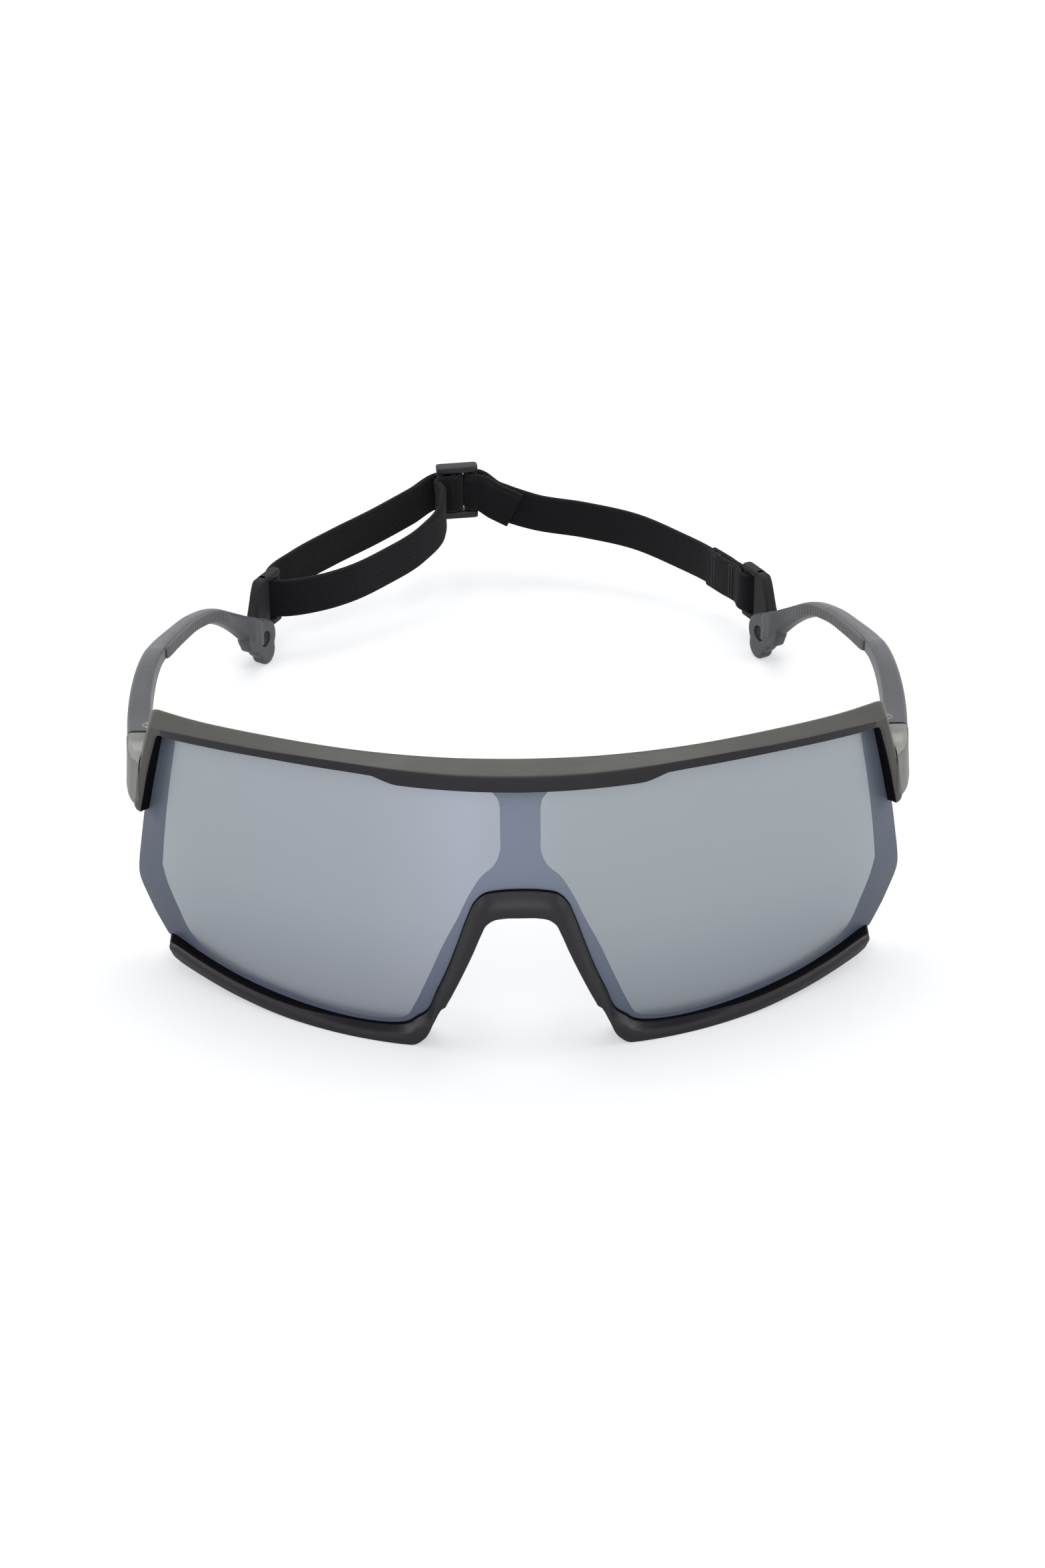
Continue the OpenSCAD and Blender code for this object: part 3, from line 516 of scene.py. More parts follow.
def betweenColumns(piece, columns, first, last):
    # Which quads of a ribbon lie between two of its columns, counted round the section.
    count = len(piece.data.polygons)
    start, total = np.zeros(count, np.int32), np.zeros(count, np.int32)
    piece.data.polygons.foreach_get("loop_start", start)
    piece.data.polygons.foreach_get("loop_total", total)
    corners = np.empty(len(piece.data.loops), np.int32)
    piece.data.loops.foreach_get("vertex_index", corners)
    quads = total == 4
    place = (corners[start[quads][:, None] + np.arange(4)] % columns - first) % columns
    chosen = np.zeros(count, bool)
    chosen[quads] = (place <= (last - first) % columns).all(axis=1)
    return chosen


def evenOutline(points, count, corner=None):
    # A polyline with rounded corners as count even steps: each corner is replaced by a curve whose ends lie the
    # corner's length from it.
    points = np.asarray(points, float)
    if corner is not None:
        out = [points[0]]
        for k in range(1, len(points) - 1):
            reach = corner[k - 1]
            before, after = points[k - 1] - points[k], points[k + 1] - points[k]
            a = points[k] + before / np.linalg.norm(before) * min(reach, np.linalg.norm(before) * 0.48)
            b = points[k] + after / np.linalg.norm(after) * min(reach, np.linalg.norm(after) * 0.48)
            t = np.linspace(0, 1, 9)[:, None]
            out.extend((1 - t) ** 2 * a + 2 * t * (1 - t) * points[k] + t * t * b)
        out.append(points[-1])
        points = np.array(out)
    run = np.concatenate([[0], np.cumsum(np.linalg.norm(np.diff(points, axis=0), axis=1))])
    at = np.linspace(0, run[-1], count)
    return np.stack([np.interp(at, run, c) for c in points.T], -1)


# Brow frame: four lines seen from the front, each from the middle along the band, round the corner and down the leg
brow = {
    "lowBand": [(25.9, 55.7), (28.6, 55.76), (34.2, 55.66), (39.9, 55.4), (45.7, 54.93), (51.6, 54.15), (57.6, 53.12),
                (62.6, 52.05)],
    "tab": [(0, 54.25), (9, 54.3), (17, 54.4), (22.2, 54.5), (25.9, 55.7)],
    "lowCorner": [(62.6, 52.05), (65.1, 51.55), (65.5, 50.7)],
    "lowLeg": [(65.5, 50.7), (66.86, 45.77), (67.93, 41.24), (68.82, 36.94), (69.12, 35.6)],
    "wallCorner": [(62.6, 52.05), (64.4, 51.4), (64.72, 49.3)],
    "wallLeg": [(64.72, 49.3), (65.87, 44.0), (66.86, 39.45), (67.75, 35.07), (68.1, 33.6)],
    "creaseBand": [(0, 57.22), (11.7, 57.26), (22.8, 57.42), (28, 57.46), (33.6, 57.36), (39.4, 57.03), (45.2, 56.46),
                   (51, 55.78), (59, 54.4), (64.9, 52.88)],
    "creaseCorner": [(64.9, 52.88), (66.88, 52.35), (67.3, 50.8)],
    "creaseLeg": [(67.3, 50.8), (68.89, 44.61), (69.92, 40.04), (70.55, 36.92), (70.75, 35.6)],
    "ridgeBand": [(0, 58.8), (5.7, 58.78), (11.2, 58.7), (16.8, 58.62), (22.4, 58.5), (28.1, 58.33), (33.8, 58.1),
                  (39.6, 57.77), (45.5, 57.26), (51.4, 56.5), (57.6, 55.45), (62.6, 54.5)],
    "ridgeCorner": [(62.6, 54.5), (66.75, 53.55), (67.4, 50.6)],
    "ridgeLeg": [(67.4, 50.6), (68.92, 44.61), (69.92, 40.04), (70.52, 36.92), (70.7, 35.6)],
    "front": 3.0, "ridgeDepth": -0.5, "back": -2.9, "fallPerDepth": 0.62,
    "legStart": 63.5, "legBlend": 1.6, "legInset": 0.3,   # where the band turns into the leg, over which width
    "fallStart": 50.2, "fallLength": 5.0,                 # the height below which the top no longer falls away
    "cornerReach": {"low": 0.7, "wall": 0.8, "crease": 0.35, "ridge": 1.9},
    "bandEdges": (0.22, 0.3, 0.6, 0.4, 0.3, 0.2), "legEdges": (0.7, 0.3, 0.6, 0.5, 0.5, 0.2),
    "footReach": 1.45, "footHeading": (0.12, -1.0), "footFlatten": 0.06, "footKeep": 0.55,
    "wallColumns": (-16, 2), "bandColumns": (2, 12), "bandHalf": 64.6,   # what has the darker finishes: near-black painted shade on the inner wall, painted shade on the front band
}


def browLine(name, rows=(230, 26, 60)):
    # One line of the brow with as many points along the band, the corner and the leg as the others: the low line and
    # the wall's start with the tab in the middle.
    band = smoothPath(brow[("low" if name == "wall" else name) + "Band"], 300)
    if name in ("low", "wall"):
        band = np.concatenate([evenOutline(brow["tab"], 160, [0.5, 0.5, 1.1])[:-1], band])
    corner = evenOutline(brow[name + "Corner"], rows[1], [brow["cornerReach"][name]])
    leg = smoothPath(brow[name + "Leg"], rows[2])
    return np.concatenate([evenOutline(band, rows[0])[:-1], corner[:-1], leg])


def atDepth(line, depth):
    # An outline's points (x, z) with their depth in front of the lens.
    return np.concatenate([line, np.broadcast_to(depth, len(line))[:, None]], 1)


def buildBrow():
    # Sections with six corners: the inner front edge, the crease, the ridge, the back's outer and inner edges, and
    # the foot of the inner wall at the lens. Behind the ridge the top falls away as steeply as the lens curves.
    low, crease, ridge, wall = (browLine(name) for name in ("low", "crease", "ridge", "wall"))
    onLeg = np.clip((low[:, :1] - brow["legStart"]) / brow["legBlend"], 0, 1)
    downLeg = np.clip((brow["fallStart"] - ridge[:, 1:]) / brow["fallLength"], 0, 1)
    level = np.sqrt(1 - (ridge[:, :1] / lensShape["acrossRadius"]) ** 2)
    fall = (brow["ridgeDepth"] - brow["back"]) * brow["fallPerDepth"] / level
    outerBack = ridge - np.concatenate([brow["legInset"] * onLeg, fall * (1 - downLeg)], 1)
    corners = np.stack([atDepth(low, brow["front"]), atDepth(crease, brow["front"]), atDepth(ridge, brow["ridgeDepth"]),
                        atDepth(outerBack, brow["back"]), atDepth(wall, brow["back"]), atDepth(wall, 0.0)], 1)
    corners = roundEnds(bothSides(corners), brow["footReach"], brow["footHeading"], flatten=brow["footFlatten"],
                        keep=brow["footKeep"])
    return ribbonOnLens(corners, edgeReaches(brow["bandEdges"], brow["legEdges"], onLeg))


def ribbonColumns(piece, columns, span):
    # The faces in a span of columns, which may begin before the first.
    return betweenColumns(piece, columns, span[0] % columns, span[1])


browPoints, browFaces, browColumns = buildBrow()
browPiece = addPiece("browFrame", browPoints, browFaces, "front", "frame", finishes["frame"], ["brow_frame"], sharp=32)
# The brow's inner wall at the lens gets the near-black finish: painted shade.
secondFinish(browPiece, ribbonColumns(browPiece, browColumns, brow["wallColumns"]), finishes["wall"])
# The band's front face below the crease gets the darker copy: painted shade.
shadedBandFaces = ribbonColumns(browPiece, browColumns, brow["bandColumns"]) & withinX(browPiece, brow["bandHalf"])
secondFinish(browPiece, shadedBandFaces, finishes["band"])
print("brow frame done")

# End pieces between the legs and the hinges, with the hinge ears: each section has y, x inside, x outside at the foot
# and the shoulder, x at the top, and then z of foot, shoulder and top
endPiece = {
    "sections": [
        (29.6, 69.4, 70.3, 69.6, 69.45, 36.5, 42.4, 43.0),
        (30.8, 69.2, 71.1, 70.0, 69.5, 35.0, 43.6, 44.2),
        (32.2, 68.9, 71.8, 70.8, 70.0, 35.0, 43.6, 44.4),
        (33.6, 68.3, 72.2, 71.45, 70.7, 35.5, 43.7, 44.5),
        (34.7, 67.6, 72.4, 71.8, 71.1, 36.3, 43.9, 44.8),
        (35.7, 67.1, 72.3, 71.95, 71.3, 37.2, 44.4, 45.3),
        (36.87, 66.8, 72.2, 72.0, 71.5, 38.2, 45.7, 46.5),
    ],
    "rows": 36, "edges": (0.9, 1.2, 0.5, 0.4, 0.4),
    "earRadius": 2.1, "earHeight": 2.1, "earHole": 1.52, "knuckleHeight": 3.6, "gap": 0.1,
    "webInside": 2.05, "webOutside": 0.55, "webInset": 0.05, "webRadius": 0.25, "webInSeam": 1.0, "webShort": 0.2,
    "floorRadius": 1.6, "floorHole": 0.88, "floorThickness": 0.9,
    "highlightSlope": 0.5,   # faces whose normal rises more than this have the paler top finish, a painted highlight from the light above
}


def standingBar(y, x0, x1, z0, z1, radius, corner, flat):
    # A bar of rounded sections that stand across Y, each between x0 and x1 and between z0 and z1.
    u, v = roundedSection(x1 - x0, z1 - z0, radius, corner, flat)
    return tube(np.stack([(x0 + x1)[:, None] / 2 + u, np.broadcast_to(y[:, None], u.shape),
                          (z0 + z1)[:, None] / 2 + v], -1))


def barAlong(sections, rows, corner=6, flat=4):
    # The same from rows of (y, x inside, x outside, z low, z top, radius), joined by a smooth curve.
    y, x0, x1, z0, z1, radius = smoothPath(sections, rows).T
    radius = np.minimum(radius, np.minimum(x1 - x0, z1 - z0) * 0.48)
    return standingBar(y, x0, x1, z0, z1, radius, corner, flat)


def turned(centre, profile, steps=40, hole=0.0):
    # A turned piece about a vertical axis: profile rows of (radius, height) spun round; a hole makes it a ring.
    profile = np.asarray(profile, float)
    if hole:
        profile = np.concatenate([[(hole, profile[0, 1])], profile, [(hole, profile[-1, 1])]])
    angle = np.linspace(0, 2 * np.pi, steps, endpoint=False)
    ring = np.stack([profile[:, :1] * np.cos(angle), profile[:, :1] * np.sin(angle),
                     np.repeat(profile[:, 1:], steps, 1)], -1)
    return (ringTube if hole else tube)(ring + centre)


def ringProfile(radius, low, high, edge=0.3):
    # A cylinder's side from low to high with rounded edges.
    turn = np.linspace(0, np.pi / 2, 5)
    lower = np.stack([radius - edge + edge * np.sin(turn), low + edge - edge * np.cos(turn)], -1)
    upper = np.stack([radius - edge + edge * np.cos(turn), high - edge + edge * np.sin(turn)], -1)
    return np.concatenate([lower, upper])


def buildEndPiece():
    # The block, from five corners per section, and its two ears: rings about the hinge axis, each with a web to the
    # seam and the floor or roof of the screw's recess. Also returns how many of the faces are the block's.
    x, y, z = glasses["hingeX"], glasses["hingeY"], glasses["hingeZ"]
    back, inside, foot, shoulder, top, footZ, shoulderZ, topZ = smoothPath(endPiece["sections"], endPiece["rows"]).T
    corners = np.stack([inside, footZ, foot, footZ, shoulder, shoulderZ, top, topZ, inside, topZ], -1)
    outline = roundedPolygon(corners.reshape(endPiece["rows"], 5, 2), endPiece["edges"])
    parts = [tube(np.insert(outline, 1, back[:, None], axis=-1))]
    reach = endPiece["knuckleHeight"] / 2 + endPiece["gap"]
    high, thick = endPiece["earHeight"], endPiece["floorThickness"]
    for low in (z - reach - high, z + reach):
        parts.append(turned((x, y, 0), ringProfile(endPiece["earRadius"], low, low + high), hole=endPiece["earHole"]))
        section = (x - endPiece["webInside"], x + endPiece["webOutside"], low + endPiece["webInset"],
                   low + high - endPiece["webInset"], endPiece["webRadius"])
        web = [(glasses["seamY"] - endPiece["webInSeam"], *section), (y - endPiece["webShort"], *section)]
        parts.append(barAlong(web, 6, corner=4, flat=1))
        floor = low + (high - thick if low < z else 0)
        parts.append(turned((x, y, 0), [(endPiece["floorRadius"], floor), (endPiece["floorRadius"], floor + thick)],
                            hole=endPiece["floorHole"]))
    return joined(*parts), len(parts[0][1])


endPart, blockFaces = buildEndPiece()
# Each end piece gets the lighter copy as painted sheen, and its block's upward faces get the paler one as painted
# highlight.
for label, part in (("rightEndPiece", endPart), ("leftEndPiece", mirrored(endPart))):
    piece = addPiece(label, *part, "front", "frame", finishes["endPiece"], sharp=40)
    normals = np.empty(len(piece.data.polygons) * 3)
    piece.data.polygons.foreach_get("normal", normals)
    facesUp = normals.reshape(-1, 3)[:, 2] > endPiece["highlightSlope"]
    secondFinish(piece, facesUp & (np.arange(len(facesUp)) < blockFaces), finishes["litEndTop"])
print("end pieces done")

# Lower rim with the nose arch, from the tip to the middle of the arch: each point has x, z and how far it stands in
# front of the lens
rim = {
    "lensSide": [(64.9, 6.25, 1.9), (64.2, 6.33, 1.9), (63.0, 6.2, 1.85), (59.8, 5.55, 1.75), (56.5, 4.92, 1.65),
                 (52, 4.13, 1.6), (47, 3.46, 1.6), (43.8, 3.1, 1.55), (40.7, 2.79, 1.4), (37, 2.5, 1.05),
                 (33.2, 2.28, 0.75), (29.5, 2.2, 0.6), (26.0, 2.35, 0.6), (23.2, 2.7, 0.65), (21.6, 3.1, 0.7),
                 (20.3, 3.75, 0.75), (19.1, 4.9, 0.8), (17.4, 6.4, 0.8), (15.3, 11.5, 0.8), (13.3, 16.7, 0.8),
                 (11.3, 22.8, 0.8), (9.5, 28.4, 0.7), (8.3, 31.3, 0.65), (6.6, 33.1, 0.6), (3.5, 33.9, 0.6),
                 (0.0, 34.1, 0.6)],
    "outside": [(65.5, 4.45, 2.9), (64.95, 3.55, 2.9), (63.8, 3.05, 2.9), (61.0, 2.55, 2.9), (58.1, 2.08, 2.9),
                (54.5, 1.48, 2.9), (50.5, 0.97, 2.95), (46.9, 0.53, 3.0), (43.7, 0.27, 3.1), (40.6, 0.14, 3.2),
                (36.9, 0.02, 3.3), (33.2, 0.0, 3.45), (29.5, 0.0, 3.55), (25.2, 0.0, 3.6), (23.4, 0.0, 3.6),
                (21.2, 0.0, 3.6), (19.5, 0.1, 3.5), (17.9, 1.3, 3.3), (15.85, 5.6, 3.1), (14.8, 8.1, 3.0),
                (14.45, 8.75, 3.0), (13.75, 9.35, 3.0), (13.3, 10.3, 2.95), (10.65, 16.5, 2.9), (8.4, 22.2, 2.9),
                (7.0, 26.0, 2.9), (6.2, 27.8, 2.9), (4.9, 28.9, 2.9), (3.0, 29.35, 2.9), (0.0, 29.45, 2.9)],
    "back": -3.8, "tipReach": 0.5, "tipHeading": (1.0, 0.1), "tipFlatten": 0.1, "sideCount": 14,
    "archStart": 22.5, "archBlend": 4.0, "middle": 0.34, "archMiddle": 0.1, "bulge": 0.85, "wallColumns": (-16, 3),
    "sideEdges": (0.7, 1.2, 0.45, 0.4, 0.4, 0.2), "archEdges": (0.25, 1.4, 0.6, 0.4, 0.4, 0.2),
}


def rimTop(x):
    # The height of the rim's edge at the lens, straight between its points outside the arch.
    line = np.array(rim["lensSide"])[:rim["sideCount"]][::-1]
    return np.interp(x, line[:, 0], line[:, 1])


def buildRim():
    # Sections with six corners: the edge at the lens, the middle of the front, the outer front edge, the back's two
    # edges, and the foot of the wall at the lens.
    inner, outer = smoothPath(rim["lensSide"], 400)[::-1], smoothPath(rim["outside"], 400)[::-1]
    inner, proud, outer, front = inner[:, :2], inner[:, 2], outer[:, :2], outer[:, 2]
    onArch = np.clip((rim["archStart"] - inner[:, :1]) / rim["archBlend"], 0, 1)
    middle = inner + (outer - inner) * (rim["middle"] + rim["archMiddle"] * onArch)
    bulge = proud + (front - proud) * rim["bulge"]
    corners = np.stack([atDepth(inner, proud), atDepth(middle, bulge), atDepth(outer, front),
                        atDepth(outer, rim["back"]), atDepth(inner, rim["back"]), atDepth(inner, 0.0)], 1)
    corners = roundEnds(bothSides(corners), rim["tipReach"], rim["tipHeading"], flatten=rim["tipFlatten"])
    return ribbonOnLens(corners, edgeReaches(rim["sideEdges"], rim["archEdges"], onArch))


rimPoints, rimFaces, rimColumns = buildRim()
rimPiece = addPiece("lowerRim", rimPoints, rimFaces, "front", "rim", finishes["rim"], ["lower_rim"], sharp=32)
# The rim's inner wall and ledge at the lens get the near-black finish: painted shade.
secondFinish(rimPiece, ribbonColumns(rimPiece, rimColumns, rim["wallColumns"]), finishes["wall"])
print("lower rim done")

# Lens with its two mirrored lobes: outlines as x and z
lensEdge = {
    "side": [(66.15, 5.5), (68.6, 9.4), (70.75, 13.8), (71.25, 15.2), (71.4, 16.6), (71.3, 18.3), (70.95, 21.0),
             (69.33, 31.3), (67.4, 41.0), (65.15, 51.3)],
    "seat": 0.9, "lowSeat": 1.2, "thickness": 2.0, "rows": 36, "archEnd": 21.5,
    "tuck": 0.45, "tuckStart": 63.0, "tuckLength": 3.1,   # how the lower edge comes out of the rim at its tip
    "bandEnds": ((0, 55.9), (66.0, 51.4)),                # the band's lower edge beyond its own points
    "lobeSeat": 0.6, "lobeFront": 0.05, "lobeBack": -0.04, "lobeGrid": (220, 40),
    "arch": [(0, 32.7), (3.3, 32.6), (6.0, 31.8), (8.0, 29.0), (9.2, 25.5), (10.9, 21.0), (12.1, 16.2), (14.6, 10.0),
             (16.2, 5.6), (18.2, 3.4), (19.9, 2.5), (21.5, 1.7)],
    "lobeTop": [(3.55, 50.0), (3.9, 51.6), (5.0, 53.0), (6.5, 55.2)],
    "lobeInner": [(3.55, 50.0), (3.55, 44.5), (3.6, 41.56), (4.7, 38.8), (6.8, 36.7), (9.0, 33.0), (11.4, 27.4),
                  (13.8, 22.1), (16.8, 14.2), (19.5, 7.3), (20.6, 5.0), (21.6, 4.1)],
    "lobeLow": [(21.6, 4.1), (25.4, 3.35), (35.4, 3.6), (45.3, 4.9), (58.0, 6.75), (60.9, 9.0), (63.6, 14.4),
                (65.5, 19.4), (66.1, 22.3)],
    "lobeSide": [(66.1, 22.3), (65.2, 30.0), (63.6, 41.0), (62.1, 50.0), (61.8, 53.4)],
}


def plateOnLens(low, high, rows, front, back):
    # A closed plate between two outlines of as many points: rows on straight lines from the low one to the high one,
    # as one sheet at the front depth, one at the back, and strips round the border.
    t = np.linspace(0, 1, rows)[None, :, None]
    grid = low[:, None] * (1 - t) + high[:, None] * t
    sheets = [onLens(grid[..., 0], grid[..., 1], depth, 0.0).reshape(-1, 3) for depth in (front, back)]
    count = len(low) * rows
    sheet = gridFaces(len(low), rows)
    faces = sheet + [[k + count for k in face[::-1]] for face in sheet]
    index = np.arange(count).reshape(len(low), rows)
    border = np.concatenate([index[0, :-1], index[:-1, -1], index[-1, :0:-1], index[:0:-1, 0]]).tolist()
    faces += [[b, a, a + count, b + count] for a, b in zip(border, border[1:] + border[:1])]
    return outward(np.concatenate(sheets), faces)


def bandLow(x):
    # The height of the band's lower edge, straight between its points; in the middle it lies above the tab's edge.
    line = np.array([lensEdge["bandEnds"][0], *brow["lowBand"], lensEdge["bandEnds"][1]])
    return np.interp(np.abs(x), line[:, 0], line[:, 1])


def buildLens():
    # Upright columns from the lower outline (the arch, the rim's seat, the side up to its widest point) to the height
    # of the upper one (the band's seat, the side down to its widest point) at the same x.
    side, arch = np.array(lensEdge["side"]), np.array(lensEdge["arch"])
    widest = int(np.argmax(side[:, 0]))
    x = np.concatenate([np.linspace(0, 22, 90), np.linspace(22, side[0, 0], 110)[1:]])
    tuck = lensEdge["tuck"] * np.clip((x - lensEdge["tuckStart"]) / lensEdge["tuckLength"], 0, 1)
    low = np.where(x < lensEdge["archEnd"], np.interp(x, arch[:, 0], arch[:, 1]),
                   rimTop(x) - lensEdge["lowSeat"] + tuck)
    lowLine = np.concatenate([np.stack([x, low], -1), evenOutline(side[:widest + 1], 40)[1:]])
    run = np.linspace(0, side[-1, 0], 160)
    highLine = np.concatenate([np.stack([run, bandLow(run) + lensEdge["seat"]], -1),
                               evenOutline(side[widest:][::-1], 60)[1:]])
    highZ = np.interp(lowLine[:, 0], highLine[:, 0], highLine[:, 1])
    highLine = np.stack([lowLine[:, 0], highZ], -1)
    return plateOnLens(bothSides(lowLine), bothSides(highLine), lensEdge["rows"], 0.0, -lensEdge["thickness"])


def buildLobe():
    # One mirrored lobe as a thin plate between its inner side with its lower edge and its top with its outer side.
    lower = np.concatenate([smoothPath(lensEdge["lobeInner"], 90)[:-1], smoothPath(lensEdge["lobeLow"], 110)])
    topX = np.linspace(lensEdge["lobeTop"][-1][0], lensEdge["lobeSide"][-1][0], 150)
    upper = np.concatenate([smoothPath(lensEdge["lobeTop"], 24)[:-1],
                            np.stack([topX, bandLow(topX) + lensEdge["lobeSeat"]], -1)[:-1],
                            smoothPath(lensEdge["lobeSide"], 60)[::-1]])
    count, rows = lensEdge["lobeGrid"]
    return plateOnLens(evenOutline(lower, count), evenOutline(upper, count), rows, lensEdge["lobeFront"],
                       lensEdge["lobeBack"])


addPiece("shieldLens", *buildLens(), "front", "lens", finishes["lens"], ["lens"], sharp=30, weld=True)
lobePart = buildLobe()
for label, part in (("rightMirror", lobePart), ("leftMirror", mirrored(lobePart))):
    addPiece(label, *part, "front", "lens", finishes["mirror"], sharp=30, weld=True)
print("lens done")

# Temples: each station has shares of the length, of the outer side's bulge, of the top's lift, of the thickness and of
# the height
temple = {
    "length": 118.0,
    "stations": [(0.002, .93, 1, 1, 1), (.06, .972, .988, 1, .9), (.144, 1, .985, .93, .76),
                 (.237, .986, .973, .86, .61), (.322, .951, .924, .82, .51), (.381, .93, .858, .82, .46),
                 (.542, .804, .677, .75, .415), (.695, .657, .495, .7, .415), (.822, .462, .314, .68, .44),
                 (.924, .196, .097, .68, .585), (.962, 0, 0, .72, .85)],
    "endX": 58.6, "bulge": 14.3, "endZ": 13.6, "lift": 33.1, "thickness": 4.4, "height": 8.2,
    "tipRadius": 4.3, "footRadius": 2.8, "footAlong": 0.9, "tipThickness": 2.8, "holeRadius": 1.75,
    "edge": 1.15, "edgeShare": 0.4, "knuckleRadius": 2.1, "screwHole": 0.86, "tipEdge": 0.6, "holeEdge": 0.15,
    # how the arm ends in the tip plate: y, x inside, x outside, z low, z top, radius
    "tail": [(150.9, 55.35, 58.45, 6.9, 13.5, 0.9), (152.4, 54.6, 57.7, 5.4, 12.5, 0.9),
             (153.6, 54.2, 56.8, 5.0, 11.5, 0.8)],
    "tipPolygon": [(-6.6, 7.2), (-2.0, 5.2), (0.0, 4.3), (0.0, -3.87), (-3.9, -1.2), (-6.19, -0.9), (-7.4, 2.19)],
}


def templeTable(rows):
    # The temple's stations in millimetres, joined smoothly: y, x inside, x outside, z low, z top.
    s = np.array(temple["stations"])
    y = glasses["seamY"] + temple["length"] * s[:, 0]
    outX = temple["endX"] + temple["bulge"] * s[:, 1]
    top = temple["endZ"] + temple["lift"] * s[:, 2]
    thick, high = temple["thickness"] * s[:, 3], temple["height"] * s[:, 4]
    return smoothPath(np.stack([y, outX - thick, outX, top - high, top], -1), rows)


def tipFrame(points):
    # From the right tip's own frame (along the plate to the rear, outwards, up) to the glasses'.
    turn = math.radians(glasses["tipTurn"])
    along, out = np.array([-math.cos(turn), math.sin(turn), 0]), np.array([math.sin(turn), math.cos(turn), 0])
    points = np.asarray(points, float)
    return (np.array([glasses["tipX"], glasses["tipY"], 0]) + points[..., :1] * along + points[..., 1:2] * out
            + points[..., 2:] * (0, 0, 1))


def starRadius(angle, circles, polygon):
    # How far a ray from the hole's centre goes before it leaves the last circle or polygon edge that it meets.
    ray = np.stack([np.cos(angle), np.sin(angle)], -1)
    best = np.zeros(len(angle))
    for cx, cz, r in circles:
        b = ray @ np.array([cx, cz])
        inside = b * b - (cx * cx + cz * cz) + r * r
        best = np.maximum(best, np.where(inside > 0, b + np.sqrt(np.maximum(inside, 0)), 0))
    corners = np.array(polygon, float)
    for p, q in zip(corners, np.roll(corners, -1, 0)):
        edge = q - p
        det = ray[:, 0] * -edge[1] + ray[:, 1] * edge[0]
        det = np.where(np.abs(det) < 1e-9, 1e-9, det)
        far = (p[0] * -edge[1] + p[1] * edge[0]) / det
        part = (ray[:, 0] * p[1] - ray[:, 1] * p[0]) / det
        best = np.maximum(best, np.where((far > 0) & (part >= 0) & (part <= 1), far, 0))
    return best


def holedPlate(radii, angle, centreZ):
    # A plate about a hole in the tip's frame: for every angle a closed section goes up the hole's wall, across one
    # face, round the rim with quarter-circle edges and back across the other face.
    hole, edge, bevel, half = temple["holeRadius"], temple["tipEdge"], temple["holeEdge"], temple["tipThickness"] / 2
    quarter = np.linspace(0, np.pi / 2, 5)
    across = [hole + bevel + 0 * radii] + [hole + (radii - hole - edge) * share for share in (0.35, 0.7)]
    rows = [(r, -half) for r in across]
    rows += [(radii - edge + edge * np.sin(a), -half + edge * (1 - np.cos(a))) for a in quarter]
    rows += [(radii - edge + edge * np.cos(a), half - edge * (1 - np.sin(a))) for a in quarter]
    rows += [(r, half) for r in across[::-1]]
    rows += [(hole + 0 * radii, half - bevel), (hole + 0 * radii, -half + bevel)]
    return ringTube(tipFrame([np.stack([r * np.cos(angle), np.full_like(r, out), centreZ + r * np.sin(angle)], -1)
                              for r, out in rows]))


def buildTemple():
    # The arm as a bar through its stations and its tail, a turned knuckle on the hinge axis, and the tip plate, whose
    # outline is the outermost of two circles and a polygon, softened by a running average.
    y, x0, x1, z0, z1 = templeTable(150).T
    radius = np.minimum(temple["edge"], np.minimum(x1 - x0, z1 - z0) * temple["edgeShare"])
    sections = np.concatenate([np.stack([y, x0, x1, z0, z1, radius], -1)[:-1], temple["tail"]])
    reach, z = endPiece["knuckleHeight"] / 2, glasses["hingeZ"]
    knuckle = turned((glasses["hingeX"], glasses["hingeY"], 0),
                     ringProfile(temple["knuckleRadius"], z - reach, z + reach), hole=temple["screwHole"])
    angle = np.linspace(0, 2 * np.pi, 96, endpoint=False)
    foot = temple["footRadius"]
    radii = starRadius(angle, [(0, 0, temple["tipRadius"]), (temple["footAlong"], foot - glasses["tipZ"], foot)],
                       temple["tipPolygon"])
    for _ in range(2):
        radii = (np.roll(radii, 1) + 2 * radii + np.roll(radii, -1)) / 4
    return joined(barAlong(sections, 170, corner=7), knuckle, holedPlate(radii, angle, glasses["tipZ"]))


templePart = buildTemple()
addPiece("rightTemple", *templePart, "right_arm", "frame", finishes["temple"], ["right_temple"], sharp=40)
addPiece("leftTemple", *mirrored(templePart), "left_arm", "frame", finishes["temple"], ["left_temple"], sharp=40)
print("temples done")

# Ear grips on the inner faces of the temples
grip = {"from": 80.2, "to": 140.5, "thickness": 0.8, "thinnest": 0.35, "inset": 0.45, "endInset": 0.5, "sunk": 0.25,
        "ribs": 30, "ribHeight": 0.12, "edge": 0.4}


def buildGrip():
    # A pad along the temple's inner face: its outer skin swells in low cross ribs, by a cosine along its length, and it
    # narrows and thins at both ends by a superellipse.
    table = templeTable(400)
    y, x0, _, z0, z1 = table[(table[:, 0] > grip["from"]) & (table[:, 0] < grip["to"])].T
    share = np.linspace(0, 1, len(y))
    ends = np.sqrt(np.clip(1 - np.abs(2 * share - 1) ** 10, 0, 1))
    wave = grip["ribHeight"] * (0.5 + 0.5 * np.cos(2 * np.pi * grip["ribs"] * share))
    skin = grip["thickness"] * (grip["thinnest"] + (1 - grip["thinnest"]) * ends) - grip["ribHeight"] + wave * ends
    inset = grip["inset"] + grip["endInset"] * (1 - ends)
    inside, outside = x0 - skin, x0 + grip["sunk"]
    radius = np.minimum(grip["edge"], (outside - inside) * 0.4)
    return standingBar(y, inside, outside, z0 + inset, z1 - inset, radius, 5, 3)


